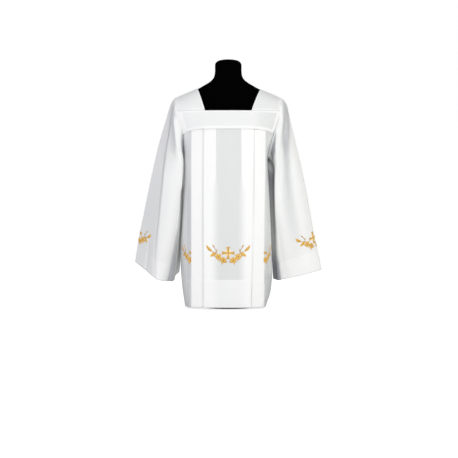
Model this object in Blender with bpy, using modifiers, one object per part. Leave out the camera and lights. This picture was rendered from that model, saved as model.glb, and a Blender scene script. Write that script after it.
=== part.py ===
"""A white surplice hanging on a black dress form.

The body of the garment has a square neckline, a yoke band front and back, and a double box pleat
front and back. The wide sleeves are set in with a gathered head. The cloth rests on the shoulders
of a limbless torso, which stands on a short pole and a round foot inside the skirt.

Metres, +Z up, the garment's front towards -Y, the floor at z = 0 under the middle of the foot.
"""

import math

import bmesh
import bpy
import numpy as np

# Cloth
WALL = 0.0011
SEAM_GAP = 0.0004

# Heights of the garment's main lines
HEM_Z = 0.008
UNDERARM_Z = 0.610
BAND_SEAM_Z = 0.7120
BAND_SEAM_DROP = 0.0170
BAND_SEAM_CURVE = 7
NECKLINE_Z = 0.788
SHOULDER_NECK_Z = 0.8917
SHOULDER_TIP_Z = 0.855

# Square neckline and shoulders, half widths
NECKLINE_HALF_WIDTH = 0.0925
SHOULDER_NECK_X = {"left": 0.1270, "right": 0.1330}
SHOULDER_TIP_X = 0.2116
ARMHOLE_HALF_DEPTH = 0.078

# The body from the hem up. left and right are the half widths to the side seam, and above the
# underarm to the armhole. front and back are the depths of the innermost layer of cloth at the
# middle, and sag is how far that layer has fallen back at the edge of the box pleat.
BODY_COLUMNS = ("z", "left", "right", "front", "back", "sag")
BODY_ROWS = (
    (0.008, 0.177, 0.154, 0.1370, 0.1420, 0.014),
    (0.050, 0.184, 0.170, 0.1365, 0.1412, 0.014),
    (0.100, 0.190, 0.178, 0.1355, 0.1400, 0.014),
    (0.220, 0.196, 0.178, 0.1335, 0.1370, 0.014),
    (0.340, 0.190, 0.174, 0.1305, 0.1330, 0.014),
    (0.450, 0.184, 0.169, 0.1275, 0.1290, 0.014),
    (0.540, 0.182, 0.163, 0.1245, 0.1260, 0.014),
    (0.610, 0.182, 0.161, 0.1220, 0.1240, 0.015),
    (0.655, 0.181, 0.171, 0.1200, 0.1230, 0.018),
    (0.700, 0.182, 0.182, 0.1180, 0.1220, 0.022),
    (0.740, 0.192, 0.193, 0.1100, 0.1165, 0.011),
    (0.788, 0.205, 0.207, 0.0995, 0.1090, 0.004),
)

# The double box pleat, half widths from the middle: the fold of the top box and of the box
# under it, and the pitch between two layers.
PLEAT_COLUMNS = ("z", "face_left", "face_right", "box_left", "box_right", "pitch")
PLEAT_ROWS = (
    (0.008, 0.0968, 0.0890, 0.1456, 0.1355, 0.0032),
    (0.420, 0.0975, 0.0985, 0.1460, 0.1440, 0.0025),
    (0.712, 0.0961, 0.1018, 0.1461, 0.1478, 0.0017),
)
TOP_BOX_UNDERFOLD = 0.0495
LOWER_BOX_UNDERFOLD = 0.0620
LAYERS_BEHIND_FACE = 4
SIDE_STEPS = 6

# The rows of points: heights below the underarm and shares of the way from there to the seam for
# the pleated panels, and shares of the way from the seam to the neckline for the bands.
PANEL_HEIGHTS = (HEM_Z, 0.055, 0.120, 0.260, 0.400, 0.520, UNDERARM_Z)
PANEL_RISES = (0.05, 0.20, 0.45, 0.72, 1.00)
BAND_RISES = (0.0, 0.33, 0.67, 1.0)
BAND_POINTS_TO_SIDE = 13
BAND_TURN = 0.43 * math.pi
BAND_STACK_EASE = 0.010
STRAP_POINTS_OVER = 13
STRAP_POINTS_ACROSS = 7

# Sleeve rings from the armhole to the cuff: the outer edge, the inner edge, the half depths in
# front and behind, and how far the front of the ring dips.
SLEEVE_COLUMNS = ("outer_x", "outer_z", "inner_x", "inner_y", "inner_z", "front", "back", "dip")
LEFT_SLEEVE_ROWS = (
    (0.2116, 0.855, 0.182, 0.000, 0.610, 0.078, 0.078, 0.000),
    (0.2260, 0.846, 0.188, -0.003, 0.600, 0.077, 0.077, 0.000),
    (0.2370, 0.826, 0.191, -0.006, 0.589, 0.077, 0.077, 0.000),
    (0.2480, 0.792, 0.192, -0.010, 0.572, 0.077, 0.077, 0.000),
    (0.2610, 0.748, 0.192, -0.016, 0.548, 0.076, 0.078, 0.001),
    (0.2780, 0.692, 0.191, -0.022, 0.512, 0.075, 0.080, 0.002),
    (0.2950, 0.625, 0.191, -0.026, 0.465, 0.074, 0.082, 0.004),
    (0.3120, 0.550, 0.191, -0.028, 0.408, 0.073, 0.084, 0.007),
    (0.3290, 0.468, 0.194, -0.028, 0.345, 0.073, 0.086, 0.011),
    (0.3460, 0.385, 0.199, -0.026, 0.280, 0.074, 0.087, 0.016),
    (0.3620, 0.308, 0.204, -0.024, 0.217, 0.075, 0.088, 0.020),
    (0.3740, 0.240, 0.210, -0.022, 0.160, 0.076, 0.088, 0.024),
    (0.3830, 0.183, 0.217, -0.020, 0.112, 0.077, 0.088, 0.028),
)
RIGHT_SLEEVE_ROWS = (
    (0.2116, 0.855, 0.161, 0.000, 0.610, 0.078, 0.078, 0.000),
    (0.2270, 0.846, 0.172, 0.000, 0.600, 0.077, 0.077, 0.000),
    (0.2400, 0.826, 0.179, -0.002, 0.589, 0.076, 0.077, 0.000),
    (0.2480, 0.794, 0.184, -0.004, 0.572, 0.074, 0.078, 0.000),
    (0.2580, 0.748, 0.187, -0.006, 0.547, 0.071, 0.080, 0.000),
    (0.2720, 0.690, 0.188, -0.008, 0.510, 0.068, 0.082, 0.000),
    (0.2870, 0.622, 0.188, -0.010, 0.463, 0.065, 0.085, 0.000),
    (0.3040, 0.546, 0.188, -0.012, 0.408, 0.062, 0.088, 0.000),
    (0.3210, 0.462, 0.189, -0.014, 0.346, 0.060, 0.091, 0.000),
    (0.3370, 0.376, 0.191, -0.016, 0.282, 0.058, 0.093, 0.000),
    (0.3530, 0.290, 0.193, -0.018, 0.218, 0.056, 0.095, 0.000),
    (0.3700, 0.216, 0.196, -0.018, 0.161, 0.054, 0.096, 0.000),
    (0.3850, 0.150, 0.200, -0.018, 0.107, 0.053, 0.096, 0.000),
)
SLEEVE_POINTS_ROUND = 44
SLEEVE_SQUARE = 2.3
ARMHOLE_GAP_TOP = 0.0007
ARMHOLE_GAP_BOTTOM = 0.0014
ARMHOLE_SHAPE_REACH = 0.35
FRONT_FOLD_REACH = 0.14
FRONT_FOLD_ANGLE = 132.0
FRONT_FOLD_SPAN = 58.0
FRONT_FOLD_SQUARE = 1.2
FRONT_FOLD_RISE = 0.12
FRONT_FOLD_END = 0.90
FRONT_FOLD_FALL = 0.35
ANGLE_STEP = 0.01

# Long soft folds in the sleeves: where each starts and ends along the sleeve, its place round
# the ring in degrees from the outer edge towards the front at both ends, its width and depth.
# start, end, angle at start, angle at end, width, depth
LEFT_FOLDS = (
    (0.05, 0.50, 62.0, 112.0, 10.0, 0.0030),
    (0.78, 1.30, 52.0, 55.0, 6.0, 0.0030),
    (0.45, 1.30, 136.0, 138.0, 26.0, 0.0150),
    (0.10, 1.15, -50.0, -66.0, 18.0, 0.0100),
    (0.20, 1.15, -100.0, -102.0, 16.0, 0.0080),
)
RIGHT_FOLDS = (
    (0.08, 0.62, 62.0, 112.0, 16.0, 0.0140),
    (0.40, 1.15, 98.0, 80.0, 20.0, 0.0040),
    (0.30, 1.15, 40.0, 44.0, 24.0, 0.0050),
    (0.62, 1.30, 136.0, 138.0, 26.0, 0.0120),
    (0.10, 1.15, -42.0, -60.0, 18.0, 0.0110),
    (0.15, 1.15, -96.0, -98.0, 16.0, 0.0100),
)
# The flat stretch of each sleeve's front from its outer edge to a crease: the crease's place in
# degrees, how deep it lies and how flat the stretch is, from 0 to 1.
FLAT_COLUMNS = ("along", "crease", "depth", "flat")
LEFT_FLAT_ROWS = (
    (0.00, 49.0, 0.008, 0.0),
    (0.14, 54.0, 0.012, 1.0),
    (0.40, 64.0, 0.016, 1.0),
    (1.00, 85.0, 0.016, 1.0),
)
RIGHT_FLAT_ROWS = (
    (0.00, 46.0, 0.006, 0.0),
    (0.12, 53.0, 0.011, 1.0),
    (0.22, 60.0, 0.012, 0.9),
    (0.40, 72.0, 0.006, 0.0),
    (1.00, 80.0, 0.000, 0.0),
)
CREASE_WIDTH = 13.0
# How far the front and the back of each sleeve's inner edge lean to the body
LEAN_COLUMNS = ("along", "left_front", "right_front", "left_back", "right_back")
LEAN_ROWS = (
    (0.00, 0.000, 0.000, 0.000, 0.000),
    (0.10, 0.008, 0.002, 0.005, 0.008),
    (0.24, 0.017, 0.003, 0.013, 0.024),
    (0.45, 0.016, 0.009, 0.019, 0.028),
    (0.75, 0.008, 0.006, 0.026, 0.028),
    (1.00, 0.008, 0.000, 0.040, 0.034),
)
FRONT_LEAN_ANGLE = 130.0
FRONT_LEAN_SPAN = 46.0
BACK_LEAN_ANGLE = {"left": -126.0, "right": -133.0}
BACK_LEAN_SPAN = 43.0
FOLD_RISE = 0.12
FOLD_FALL = 0.15
GATHERS = 5
GATHER_SPAN = 75.0
GATHER_HEIGHT = 0.0016
GATHER_REACH = 0.16

# The dress form from the bottom of the torso up.
# z, half width, depth in front, depth behind
FORM_ROWS = (
    (0.200, 0.1440, 0.1000, 0.1060),
    (0.206, 0.1500, 0.1050, 0.1110),
    (0.225, 0.1540, 0.1080, 0.1150),
    (0.270, 0.1560, 0.1090, 0.1180),
    (0.350, 0.1490, 0.1060, 0.1060),
    (0.440, 0.1380, 0.1010, 0.0940),
    (0.540, 0.1450, 0.1070, 0.1010),
    (0.620, 0.1520, 0.1110, 0.1090),
    (0.690, 0.1600, 0.1110, 0.1130),
    (0.740, 0.1690, 0.1040, 0.1110),
    (0.780, 0.1790, 0.0930, 0.1040),
    (0.810, 0.1880, 0.0820, 0.0940),
    (0.835, 0.1960, 0.0720, 0.0830),
    (0.850, 0.1960, 0.0660, 0.0760),
    (0.860, 0.1880, 0.0625, 0.0720),
    (0.870, 0.1718, 0.0600, 0.0690),
    (0.880, 0.1496, 0.0580, 0.0670),
    (0.888, 0.1305, 0.0570, 0.0655),
    (0.896, 0.1150, 0.0560, 0.0640),
    (0.904, 0.1010, 0.0555, 0.0625),
    (0.912, 0.0870, 0.0550, 0.0610),
    (0.921, 0.0740, 0.0545, 0.0595),
    (0.932, 0.0630, 0.0540, 0.0580),
    (0.948, 0.0565, 0.0540, 0.0565),
    (0.965, 0.0547, 0.0540, 0.0555),
    (0.986, 0.0547, 0.0540, 0.0550),
)
FORM_POINTS_ROUND = 36
FORM_SQUARE = 2.2
NECK_CAP_ROWS = (
    (0.9863, 0.0547, 0.0540, 0.0550),
    (0.9930, 0.0538, 0.0533, 0.0543),
    (0.9990, 0.0500, 0.0495, 0.0505),
    (1.0035, 0.0425, 0.0420, 0.0430),
    (1.0066, 0.0290, 0.0285, 0.0295),
    (1.0080, 0.0130, 0.0125, 0.0135),
)
POLE_RADIUS = 0.0125
BASE_RADIUS = 0.120
BASE_HEIGHT = 0.016
BASE_EDGE = 0.004
POLE_SEGMENTS = 24
BASE_SEGMENTS = 48
SHARP_ANGLE = math.radians(40)


def column(names, rows, name, at):
    """A table's column at any value of its first column, by straight lines between the rows."""
    table = np.array(rows)
    return np.interp(at, table[:, 0], table[:, names.index(name)])


def body(name, z):
    return column(BODY_COLUMNS, BODY_ROWS, name, z)


def pleat(name, z):
    return column(PLEAT_COLUMNS, PLEAT_ROWS, name, z)


def ease(t):
    """0 to 1 with no slope at either end."""
    t = np.clip(t, 0.0, 1.0)
    return t * t * (3.0 - 2.0 * t)


def shoulder_x(side, rise):
    """The armhole's half width from the neckline's height (0) to the shoulder tip (1)."""
    start = body(side, NECKLINE_Z)
    return start + (SHOULDER_TIP_X - start) * rise


def shoulder_z(x):
    """Height of the straight shoulder line at a distance x from the middle."""
    fall = (SHOULDER_NECK_Z - SHOULDER_TIP_Z) / (SHOULDER_TIP_X - SHOULDER_NECK_X["left"])
    return SHOULDER_TIP_Z + fall * (SHOULDER_TIP_X - x)


def armhole_depth(z):
    """Half depth of the armhole: a quarter ellipse up to the neckline's height, and one above."""
    below = (NECKLINE_Z - z) / (NECKLINE_Z - UNDERARM_Z)
    above = (z - NECKLINE_Z) / (SHOULDER_TIP_Z - NECKLINE_Z)
    return ARMHOLE_HALF_DEPTH * np.sqrt(np.clip(1.0 - np.maximum(below, above) ** 2, 0.0, 1.0))


def body_depth(x, z, face):
    """Depth of the innermost layer of cloth at x.

    A cubic falls gently back from the middle. Past the box pleat a quarter ellipse takes it round
    to the side seam or, above the underarm, through the armhole.
    """
    box = np.where(x < 0.0, pleat("box_left", z), pleat("box_right", z))
    edge = np.where(x < 0.0, body("left", z), body("right", z))
    middle = body(face, z)
    sag = body("sag", z)
    at_edge = armhole_depth(z) / (middle - sag * (edge / box) ** 3)
    reach = (edge - box) / np.sqrt(1.0 - at_edge**2)
    round_side = np.clip((np.abs(x) - box) / reach, 0.0, 1.0)
    return (middle - sag * (np.abs(x) / box) ** 3) * np.sqrt(1.0 - round_side**2)


def band_seam_z(x):
    """Height of the seam under the band, which drops towards the armholes."""
    return BAND_SEAM_Z - BAND_SEAM_DROP * (np.abs(x) / body("left", BAND_SEAM_Z)) ** BAND_SEAM_CURVE


def pleat_half(side, z):
    """One half of the pleated width at height z, from the middle to the side.

    Gives the places across and the layer at each, 0 for the face and 4 for the innermost. The
    cloth runs out along a layer, turns under, runs back, and turns out again. Every layer has
    points at the same places, so that the layers stay parallel where the body curves.
    """
    radius = pleat("pitch", z) / 2
    face = pleat("face_" + side, z)
    box = pleat("box_" + side, z)
    places = (TOP_BOX_UNDERFOLD, LOWER_BOX_UNDERFOLD, face, (face + box) / 2, box)
    across = [0.0, TOP_BOX_UNDERFOLD, LOWER_BOX_UNDERFOLD]
    layer = [0.0, 0.0, 0.0]
    for number, fold in enumerate((face, TOP_BOX_UNDERFOLD, box, LOWER_BOX_UNDERFOLD)):
        back = radius if number % 2 else -radius
        across += [fold + back, fold, fold + back]
        layer += [number, number + 0.5, number + 1.0]
        following = (TOP_BOX_UNDERFOLD, box, LOWER_BOX_UNDERFOLD, box + radius)[number]
        passed = [at for at in places if min(fold, following) < at < max(fold, following)]
        across += passed if following > fold else passed[::-1]
        layer += [number + 1.0] * len(passed)
    edge = float(body(side, z))
    steps = np.sin(np.linspace(0.0, 0.5, SIDE_STEPS + 1)[1:] * math.pi)
    across += (box + (edge - box) * steps).tolist()
    layer += [float(LAYERS_BEHIND_FACE)] * SIDE_STEPS
    return np.array(across), np.array(layer)


def panel_grid(face):
    """Rows of the pleated front or back from the hem to the seam under the band."""
    forward = -1.0 if face == "front" else 1.0
    seam = band_seam_z(body("left", BAND_SEAM_Z)) - SEAM_GAP / 2
    levels = [(height, 0.0) for height in PANEL_HEIGHTS]
    levels += [(UNDERARM_Z + rise * (seam - UNDERARM_Z), rise) for rise in PANEL_RISES]
    grid = []
    for edge_z, rise in levels:
        halves = []
        for side, sign in (("left", -1.0), ("right", 1.0)):
            across, layer = pleat_half(side, edge_z)
            x = sign * across
            z = edge_z + rise * (band_seam_z(x) - band_seam_z(body("left", BAND_SEAM_Z)))
            depth = body_depth(x, z, face) + (LAYERS_BEHIND_FACE - layer) * pleat("pitch", z)
            depth[-1] = max(float(armhole_depth(edge_z)), SEAM_GAP / 2)
            if rise > 0.0:
                x[-1] -= sign * SEAM_GAP / 2
            halves.append(np.stack([x, forward * depth, z], axis=1))
        grid.append(np.concatenate([halves[0][::-1], halves[1][1:]]))
    return np.array(grid)


def band_grid(face):
    """Rows of the yoke band from its seam with the pleats up to the neckline."""
    forward = -1.0 if face == "front" else 1.0
    grid = []
    turn = np.linspace(0.0, BAND_TURN, BAND_POINTS_TO_SIDE)
    across = np.sin(turn) / math.sin(BAND_TURN)
    for rise in BAND_RISES:
        rows = []
        for side, sign in (("left", -1.0), ("right", 1.0)):
            foot = band_seam_z(body(side, BAND_SEAM_Z))
            edge_z = foot + rise * (NECKLINE_Z - foot)
            x = sign * across * body(side, edge_z)
            foot = band_seam_z(x) + SEAM_GAP / 2
            z = foot + rise * (NECKLINE_Z - SEAM_GAP / 2 - foot)
            inner = pleat("face_" + side, BAND_SEAM_Z)
            outer = pleat("box_" + side, BAND_SEAM_Z)
            past_face = (np.abs(x) - inner + BAND_STACK_EASE) / (outer - inner + 2 * BAND_STACK_EASE)
            stack = LAYERS_BEHIND_FACE * pleat("pitch", BAND_SEAM_Z) * (1.0 - ease(past_face))
            depth = body_depth(x, z, face) + stack * (1.0 - ease(rise))
            depth[-1] = armhole_depth(z[-1])
            x[-1] -= sign * SEAM_GAP * min(0.5 + 1.5 * rise, 1.0)
            rows.append(np.stack([x, forward * depth, z], axis=1))
        grid.append(np.concatenate([rows[0][::-1], rows[1][1:]]))
    return np.array(grid)


def strap_grid(side):
    """The shoulder piece: half ellipses from the front band over the shoulder to the back band."""
    sign = -1.0 if side == "left" else 1.0
    angle = np.linspace(0.0, math.pi, STRAP_POINTS_OVER)[:, None]
    across = np.linspace(0.0, 1.0, STRAP_POINTS_ACROSS)[None, :]
    rise = np.sin(angle)
    neck = NECKLINE_HALF_WIDTH + (SHOULDER_NECK_X[side] - NECKLINE_HALF_WIDTH) * rise
    x = neck + (shoulder_x(side, rise) - SEAM_GAP / 2 - neck) * across
    foot_x = sign * (NECKLINE_HALF_WIDTH + (body(side, NECKLINE_Z) - NECKLINE_HALF_WIDTH) * across)
    front = body_depth(foot_x, NECKLINE_Z, "front")
    back = body_depth(foot_x, NECKLINE_Z, "back")
    y = -np.cos(angle) * np.where(angle < math.pi / 2, front, back)
    ridge = shoulder_z(neck + (SHOULDER_TIP_X - neck) * across)
    z = NECKLINE_Z + SEAM_GAP / 2 + (ridge - NECKLINE_Z - SEAM_GAP / 2) * rise
    return np.stack([sign * x, y, z], axis=2)


def armhole_ring(side, angle):
    """The armhole's seam as (x, y, z) at angles from the shoulder tip (0) towards the front."""
    lift = np.cos(angle)
    above = SHOULDER_TIP_Z - NECKLINE_Z
    below = NECKLINE_Z - UNDERARM_Z
    z = NECKLINE_Z + lift * np.where(lift > 0.0, above, below)
    x = np.where(lift > 0.0, shoulder_x(side, np.clip(lift, 0.0, 1.0)), body(side, z))
    x = x + ARMHOLE_GAP_TOP + (ARMHOLE_GAP_BOTTOM - ARMHOLE_GAP_TOP) * ease((1.0 - lift) / 2)
    return np.stack([x, -ARMHOLE_HALF_DEPTH * np.sin(angle), z], axis=-1)


def unit(vectors):
    return vectors / np.linalg.norm(vectors, axis=-1, keepdims=True)


def power(value, exponent):
    return np.sign(value) * np.abs(value) ** exponent


def bump(angle, middle, span):
    """A squared cosine round the ring: 1 at a middle in degrees, 0 from a span away from it on."""
    away = (angle - math.radians(middle) + math.pi) % (2 * math.pi) - math.pi
    return np.cos(np.clip(away / math.radians(span), -1.0, 1.0) * math.pi / 2) ** 2


def sleeve_ring(side, along, angle):
    """A sleeve without its folds, and the middle of each ring.

    Each ring is a flattened ellipse between its outer and inner edges, squarer at the front fold
    beside the body. The first takes the shape of the armhole, and that shape fades out along the
    top third, sooner at the front fold. The inner edge leans towards the body in front and behind.
    """
    rows = np.array(LEFT_SLEEVE_ROWS if side == "left" else RIGHT_SLEEVE_ROWS)
    table = np.column_stack([np.linspace(0.0, 1.0, len(rows)), rows])
    names = ("along", *SLEEVE_COLUMNS)
    inner_front = (np.cos(angle) < 0.0) & (np.sin(angle) > 0.0)
    upper = ease(along / FRONT_FOLD_RISE) * ease((FRONT_FOLD_END - along) / FRONT_FOLD_FALL)
    square = SLEEVE_SQUARE + FRONT_FOLD_SQUARE * np.where(inner_front, upper, 0.0)
    across = power(np.cos(angle), 2 / square)
    forward = power(np.sin(angle), 2 / square)

    def ring(at):
        size = {name: column(names, table, name, at) for name in SLEEVE_COLUMNS}
        depth = np.where(forward > 0.0, size["front"], size["back"])
        middle_x = (size["outer_x"] + size["inner_x"]) / 2
        middle_z = (size["outer_z"] + size["inner_z"]) / 2
        x = middle_x + across * (size["outer_x"] - size["inner_x"]) / 2
        y = size["inner_y"] * (1.0 - across) / 2 - forward * depth
        z = middle_z + across * (size["outer_z"] - size["inner_z"]) / 2 - size["dip"] * forward
        middle = np.stack(np.broadcast_arrays(middle_x, size["inner_y"] / 2, middle_z), axis=-1)
        return np.stack(np.broadcast_arrays(x, y, z), axis=-1), middle

    points, middle = ring(along)
    first, _ = ring(np.zeros_like(along))
    sooner = bump(angle, FRONT_FOLD_ANGLE, FRONT_FOLD_SPAN)
    reach = ARMHOLE_SHAPE_REACH + (FRONT_FOLD_REACH - ARMHOLE_SHAPE_REACH) * sooner
    fade = (1.0 - ease(along / reach))[..., None]
    points = points + fade * (armhole_ring(side, angle) - first)
    front_lean = column(LEAN_COLUMNS, LEAN_ROWS, side + "_front", along)
    back_lean = column(LEAN_COLUMNS, LEAN_ROWS, side + "_back", along)
    points[..., 0] -= front_lean * bump(angle, FRONT_LEAN_ANGLE, FRONT_LEAN_SPAN)
    points[..., 0] -= back_lean * bump(angle, BACK_LEAN_ANGLE[side], BACK_LEAN_SPAN)
    return points, middle


def ring_outward(side, along, angle):
    """A sleeve's points without folds, and unit vectors out of each ring, level with its plane."""
    points, middle = sleeve_ring(side, along, angle)
    ahead, _ = sleeve_ring(side, along, angle + ANGLE_STEP)
    following = ahead - sleeve_ring(side, along, angle - ANGLE_STEP)[0]
    return points, unit(np.cross(following, np.cross(points - middle, following)))


def flatten_front(side, along, angle, points, outward):
    """The front between outer edge and crease pulled flat, with a steep rise behind the crease.

    A flat point lies on the straight line from the outer edge to the crease, as far along it as
    its angle is of the crease's angle. Behind the crease the depth fades out.
    """
    rows = LEFT_FLAT_ROWS if side == "left" else RIGHT_FLAT_ROWS
    crease = np.radians(column(FLAT_COLUMNS, rows, "crease", along))
    depth = column(FLAT_COLUMNS, rows, "depth", along)
    edge, _ = ring_outward(side, along, np.zeros_like(crease))
    fold, fold_outward = ring_outward(side, along, crease)
    fold = fold - fold_outward * depth[..., None]
    turned = angle % (2 * math.pi)
    straight = edge + (fold - edge) * (turned / crease)[..., None]
    behind = depth * (1.0 - ease((turned - crease) / math.radians(CREASE_WIDTH)))
    pulled = np.where((turned < crease)[..., None], straight, points - outward * behind[..., None])
    return points + column(FLAT_COLUMNS, rows, "flat", along)[..., None] * (pulled - points)


def sleeve_relief(side, along, angle):
    """Height of the folds and gathers: soft troughs along slanting lines, and waves at the head."""
    height = np.zeros(along.shape)
    for start, end, angle_start, angle_end, width, depth in LEFT_FOLDS if side == "left" else RIGHT_FOLDS:
        share = np.clip((along - start) / (end - start), 0.0, 1.0)
        middle = np.radians(angle_start + (angle_end - angle_start) * share)
        away = (angle - middle + math.pi) % (2 * math.pi) - math.pi
        ends = ease((along - start) / FOLD_RISE) * ease((end - along) / FOLD_FALL)
        height -= depth * ends * np.exp(-((away / math.radians(width)) ** 2))
    away = (angle + math.pi) % (2 * math.pi) - math.pi
    span = math.radians(GATHER_SPAN)
    waves = np.where(np.abs(away) < span, 0.5 - 0.5 * np.cos(away / span * GATHERS * math.pi), 0.0)
    hump = np.sin(np.clip(along / GATHER_REACH, 0.0, 1.0) * math.pi)
    return height + GATHER_HEIGHT * hump * waves


def sleeve_grid(side):
    """Rings of a sleeve from the armhole to the cuff, with all its folds."""
    turned = np.arange(SLEEVE_POINTS_ROUND) * 2 * math.pi / SLEEVE_POINTS_ROUND
    ring_count = len(LEFT_SLEEVE_ROWS if side == "left" else RIGHT_SLEEVE_ROWS)
    along, angle = np.meshgrid(np.linspace(0.0, 1.0, ring_count), turned, indexing="ij")
    points, outward = ring_outward(side, along, angle)
    points = flatten_front(side, along, angle, points, outward)
    points = points + outward * sleeve_relief(side, along, angle)[..., None]
    return points * np.array([-1.0, 1.0, 1.0]) if side == "left" else points


def grid_triangles(rows, columns, closed):
    """Two triangles for each cell of a grid, the same diagonal throughout."""
    right = columns if closed else columns - 1
    row, col = np.meshgrid(np.arange(rows - 1), np.arange(right), indexing="ij")
    here = (row * columns + col).ravel()
    beside = (row * columns + (col + 1) % columns).ravel()
    first = np.stack([here, beside, beside + columns], axis=1)
    second = np.stack([here, beside + columns, here + columns], axis=1)
    return np.concatenate([first, second])


def material(name, colour, roughness):
    made = bpy.data.materials.new(name)
    made.use_nodes = True
    shader = made.node_tree.nodes["Principled BSDF"]
    shader.inputs["Base Color"].default_value = (*colour, 1.0)
    shader.inputs["Roughness"].default_value = roughness
    return made


def add_object(name, mesh, finish, collection):
    mesh.materials.append(finish)
    made = bpy.data.objects.new(name, mesh)
    collection.objects.link(made)
    return made


def cloth_piece(name, grid, finish, collection, closed=False):
    """A piece of cloth: an open surface through the middle of the wall, given its thickness."""
    rows, columns, _ = grid.shape
    mesh = bpy.data.meshes.new(name)
    mesh.from_pydata(grid.reshape(-1, 3).tolist(), [], grid_triangles(rows, columns, closed).tolist())
    made = add_object(name, mesh, finish, collection)
    wall = made.modifiers.new("wall", "SOLIDIFY")
    wall.thickness = WALL
    wall.offset = 0.0
    wall.use_even_offset = True
    wall.use_quality_normals = True
    mesh.shade_smooth()
    return made


def sections_piece(name, rows, finish, collection):
    """A closed solid through level sections, each a flattened ellipse, with flat ends."""
    angle = np.arange(FORM_POINTS_ROUND) * 2 * math.pi / FORM_POINTS_ROUND
    across = power(np.cos(angle), 2 / FORM_SQUARE)
    forward = power(np.sin(angle), 2 / FORM_SQUARE)
    points = []
    for z, half, front, back in rows:
        depth = np.where(forward > 0.0, back, front)
        points.append(np.stack([half * across, forward * depth, np.full_like(across, z)], axis=1))
    faces = grid_triangles(len(rows), FORM_POINTS_ROUND, True).tolist()
    last = (len(rows) - 1) * FORM_POINTS_ROUND
    faces.append(list(range(FORM_POINTS_ROUND))[::-1])
    faces.append(list(range(last, last + FORM_POINTS_ROUND)))
    mesh = bpy.data.meshes.new(name)
    mesh.from_pydata(np.concatenate(points).tolist(), [], faces)
    mesh.shade_smooth()
    mesh.set_sharp_from_angle(angle=SHARP_ANGLE)
    return add_object(name, mesh, finish, collection)


def cylinder(name, radius, low, high, segments, finish, collection):
    """An upright cylinder between two heights."""
    mesh = bpy.data.meshes.new(name)
    shape = bmesh.new()
    bmesh.ops.create_cone(
        shape, cap_ends=True, segments=segments, radius1=radius, radius2=radius, depth=high - low
    )
    shape.to_mesh(mesh)
    shape.free()
    mesh.shade_smooth()
    mesh.set_sharp_from_angle(angle=SHARP_ANGLE)
    made = add_object(name, mesh, finish, collection)
    made.location.z = (low + high) / 2
    return made


def build():
    for old in list(bpy.data.objects):
        bpy.data.objects.remove(old, do_unlink=True)
    parts = bpy.data.collections.new("surplice_on_dress_form")
    bpy.context.scene.collection.children.link(parts)

    cloth = material("white_cloth", (0.86, 0.86, 0.85), 0.75)
    black = material("black_jersey", (0.010, 0.010, 0.011), 0.80)
    metal = material("black_metal", (0.020, 0.020, 0.022), 0.45)

    for face in ("front", "back"):
        cloth_piece(face + "_panel", panel_grid(face), cloth, parts)
        cloth_piece(face + "_band", band_grid(face), cloth, parts)
    for side in ("left", "right"):
        cloth_piece("strap_" + side, strap_grid(side), cloth, parts)
        cloth_piece("sleeve_" + side, sleeve_grid(side), cloth, parts, closed=True)

    sections_piece("form_torso", FORM_ROWS, black, parts)
    sections_piece("form_neck_cap", NECK_CAP_ROWS, black, parts)
    torso_bottom = FORM_ROWS[0][0]
    pole_foot = BASE_HEIGHT + SEAM_GAP
    pole_top = torso_bottom - SEAM_GAP
    cylinder("form_pole", POLE_RADIUS, pole_foot, pole_top, POLE_SEGMENTS, metal, parts)
    base = cylinder("form_base", BASE_RADIUS, 0.0, BASE_HEIGHT, BASE_SEGMENTS, metal, parts)
    edge = base.modifiers.new("edge", "BEVEL")
    edge.width = BASE_EDGE
    edge.segments = 2
    edge.limit_method = "ANGLE"


build()
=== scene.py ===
"""The looks of a white surplice that hangs on a black dress form.

Each cloth piece is a thin shell on the form of its solid, worked out from the same tables at a
finer step: the pleated panels, the yoke bands, the shoulder pieces and the sleeves. Small creases,
turned hems and seams are added to the shells. Stitches and raised satin-stitch embroidery lie on
them, moved out from the cloth's own points.

Metres, +Z up, the garment's front towards -Y, the floor at z = 0.
"""

import math
from functools import partial

import bmesh
import bpy
import numpy as np
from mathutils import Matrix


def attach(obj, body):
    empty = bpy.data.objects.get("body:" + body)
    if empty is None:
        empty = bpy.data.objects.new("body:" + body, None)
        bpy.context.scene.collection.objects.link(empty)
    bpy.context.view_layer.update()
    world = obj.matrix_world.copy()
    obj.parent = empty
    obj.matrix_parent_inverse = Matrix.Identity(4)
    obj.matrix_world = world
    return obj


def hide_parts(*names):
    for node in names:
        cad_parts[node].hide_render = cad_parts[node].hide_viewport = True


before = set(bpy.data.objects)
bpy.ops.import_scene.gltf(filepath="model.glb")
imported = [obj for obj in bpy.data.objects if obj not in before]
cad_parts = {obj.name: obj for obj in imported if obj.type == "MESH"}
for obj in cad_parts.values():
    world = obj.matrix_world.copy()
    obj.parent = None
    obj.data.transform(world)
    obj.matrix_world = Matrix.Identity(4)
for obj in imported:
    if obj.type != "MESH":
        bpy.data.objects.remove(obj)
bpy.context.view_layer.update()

# ---------------------------------------------------------------- sizes

CLOTH = 0.0005
SEAM_GAP = 0.0001
SEAM_MERGE = 1e-7
MILLIMETRE = 0.001
HEM_Z = 0.008
HEM_DEPTH = 0.110
HEM_TOP_Z = HEM_Z + HEM_DEPTH
HEM_EDGE = 0.0012
UNDERARM_Z = 0.610
BAND_SEAM_Z = 0.7120
BAND_SEAM_DROP = 0.0170
BAND_SEAM_CURVE = 7
NECKLINE_Z = 0.788
SHOULDER_NECK_Z = 0.8917
SHOULDER_TIP_Z = 0.855
NECKLINE_HALF_WIDTH = 0.0925
SHOULDER_NECK_X = {"left": 0.1270, "right": 0.1330}
SHOULDER_TIP_X = 0.2116
ARMHOLE_HALF_DEPTH = 0.078
# Which way each side looks along X, and each face along Y
WAY = {"left": -1.0, "right": 1.0, "front": -1.0, "back": 1.0}

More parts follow.
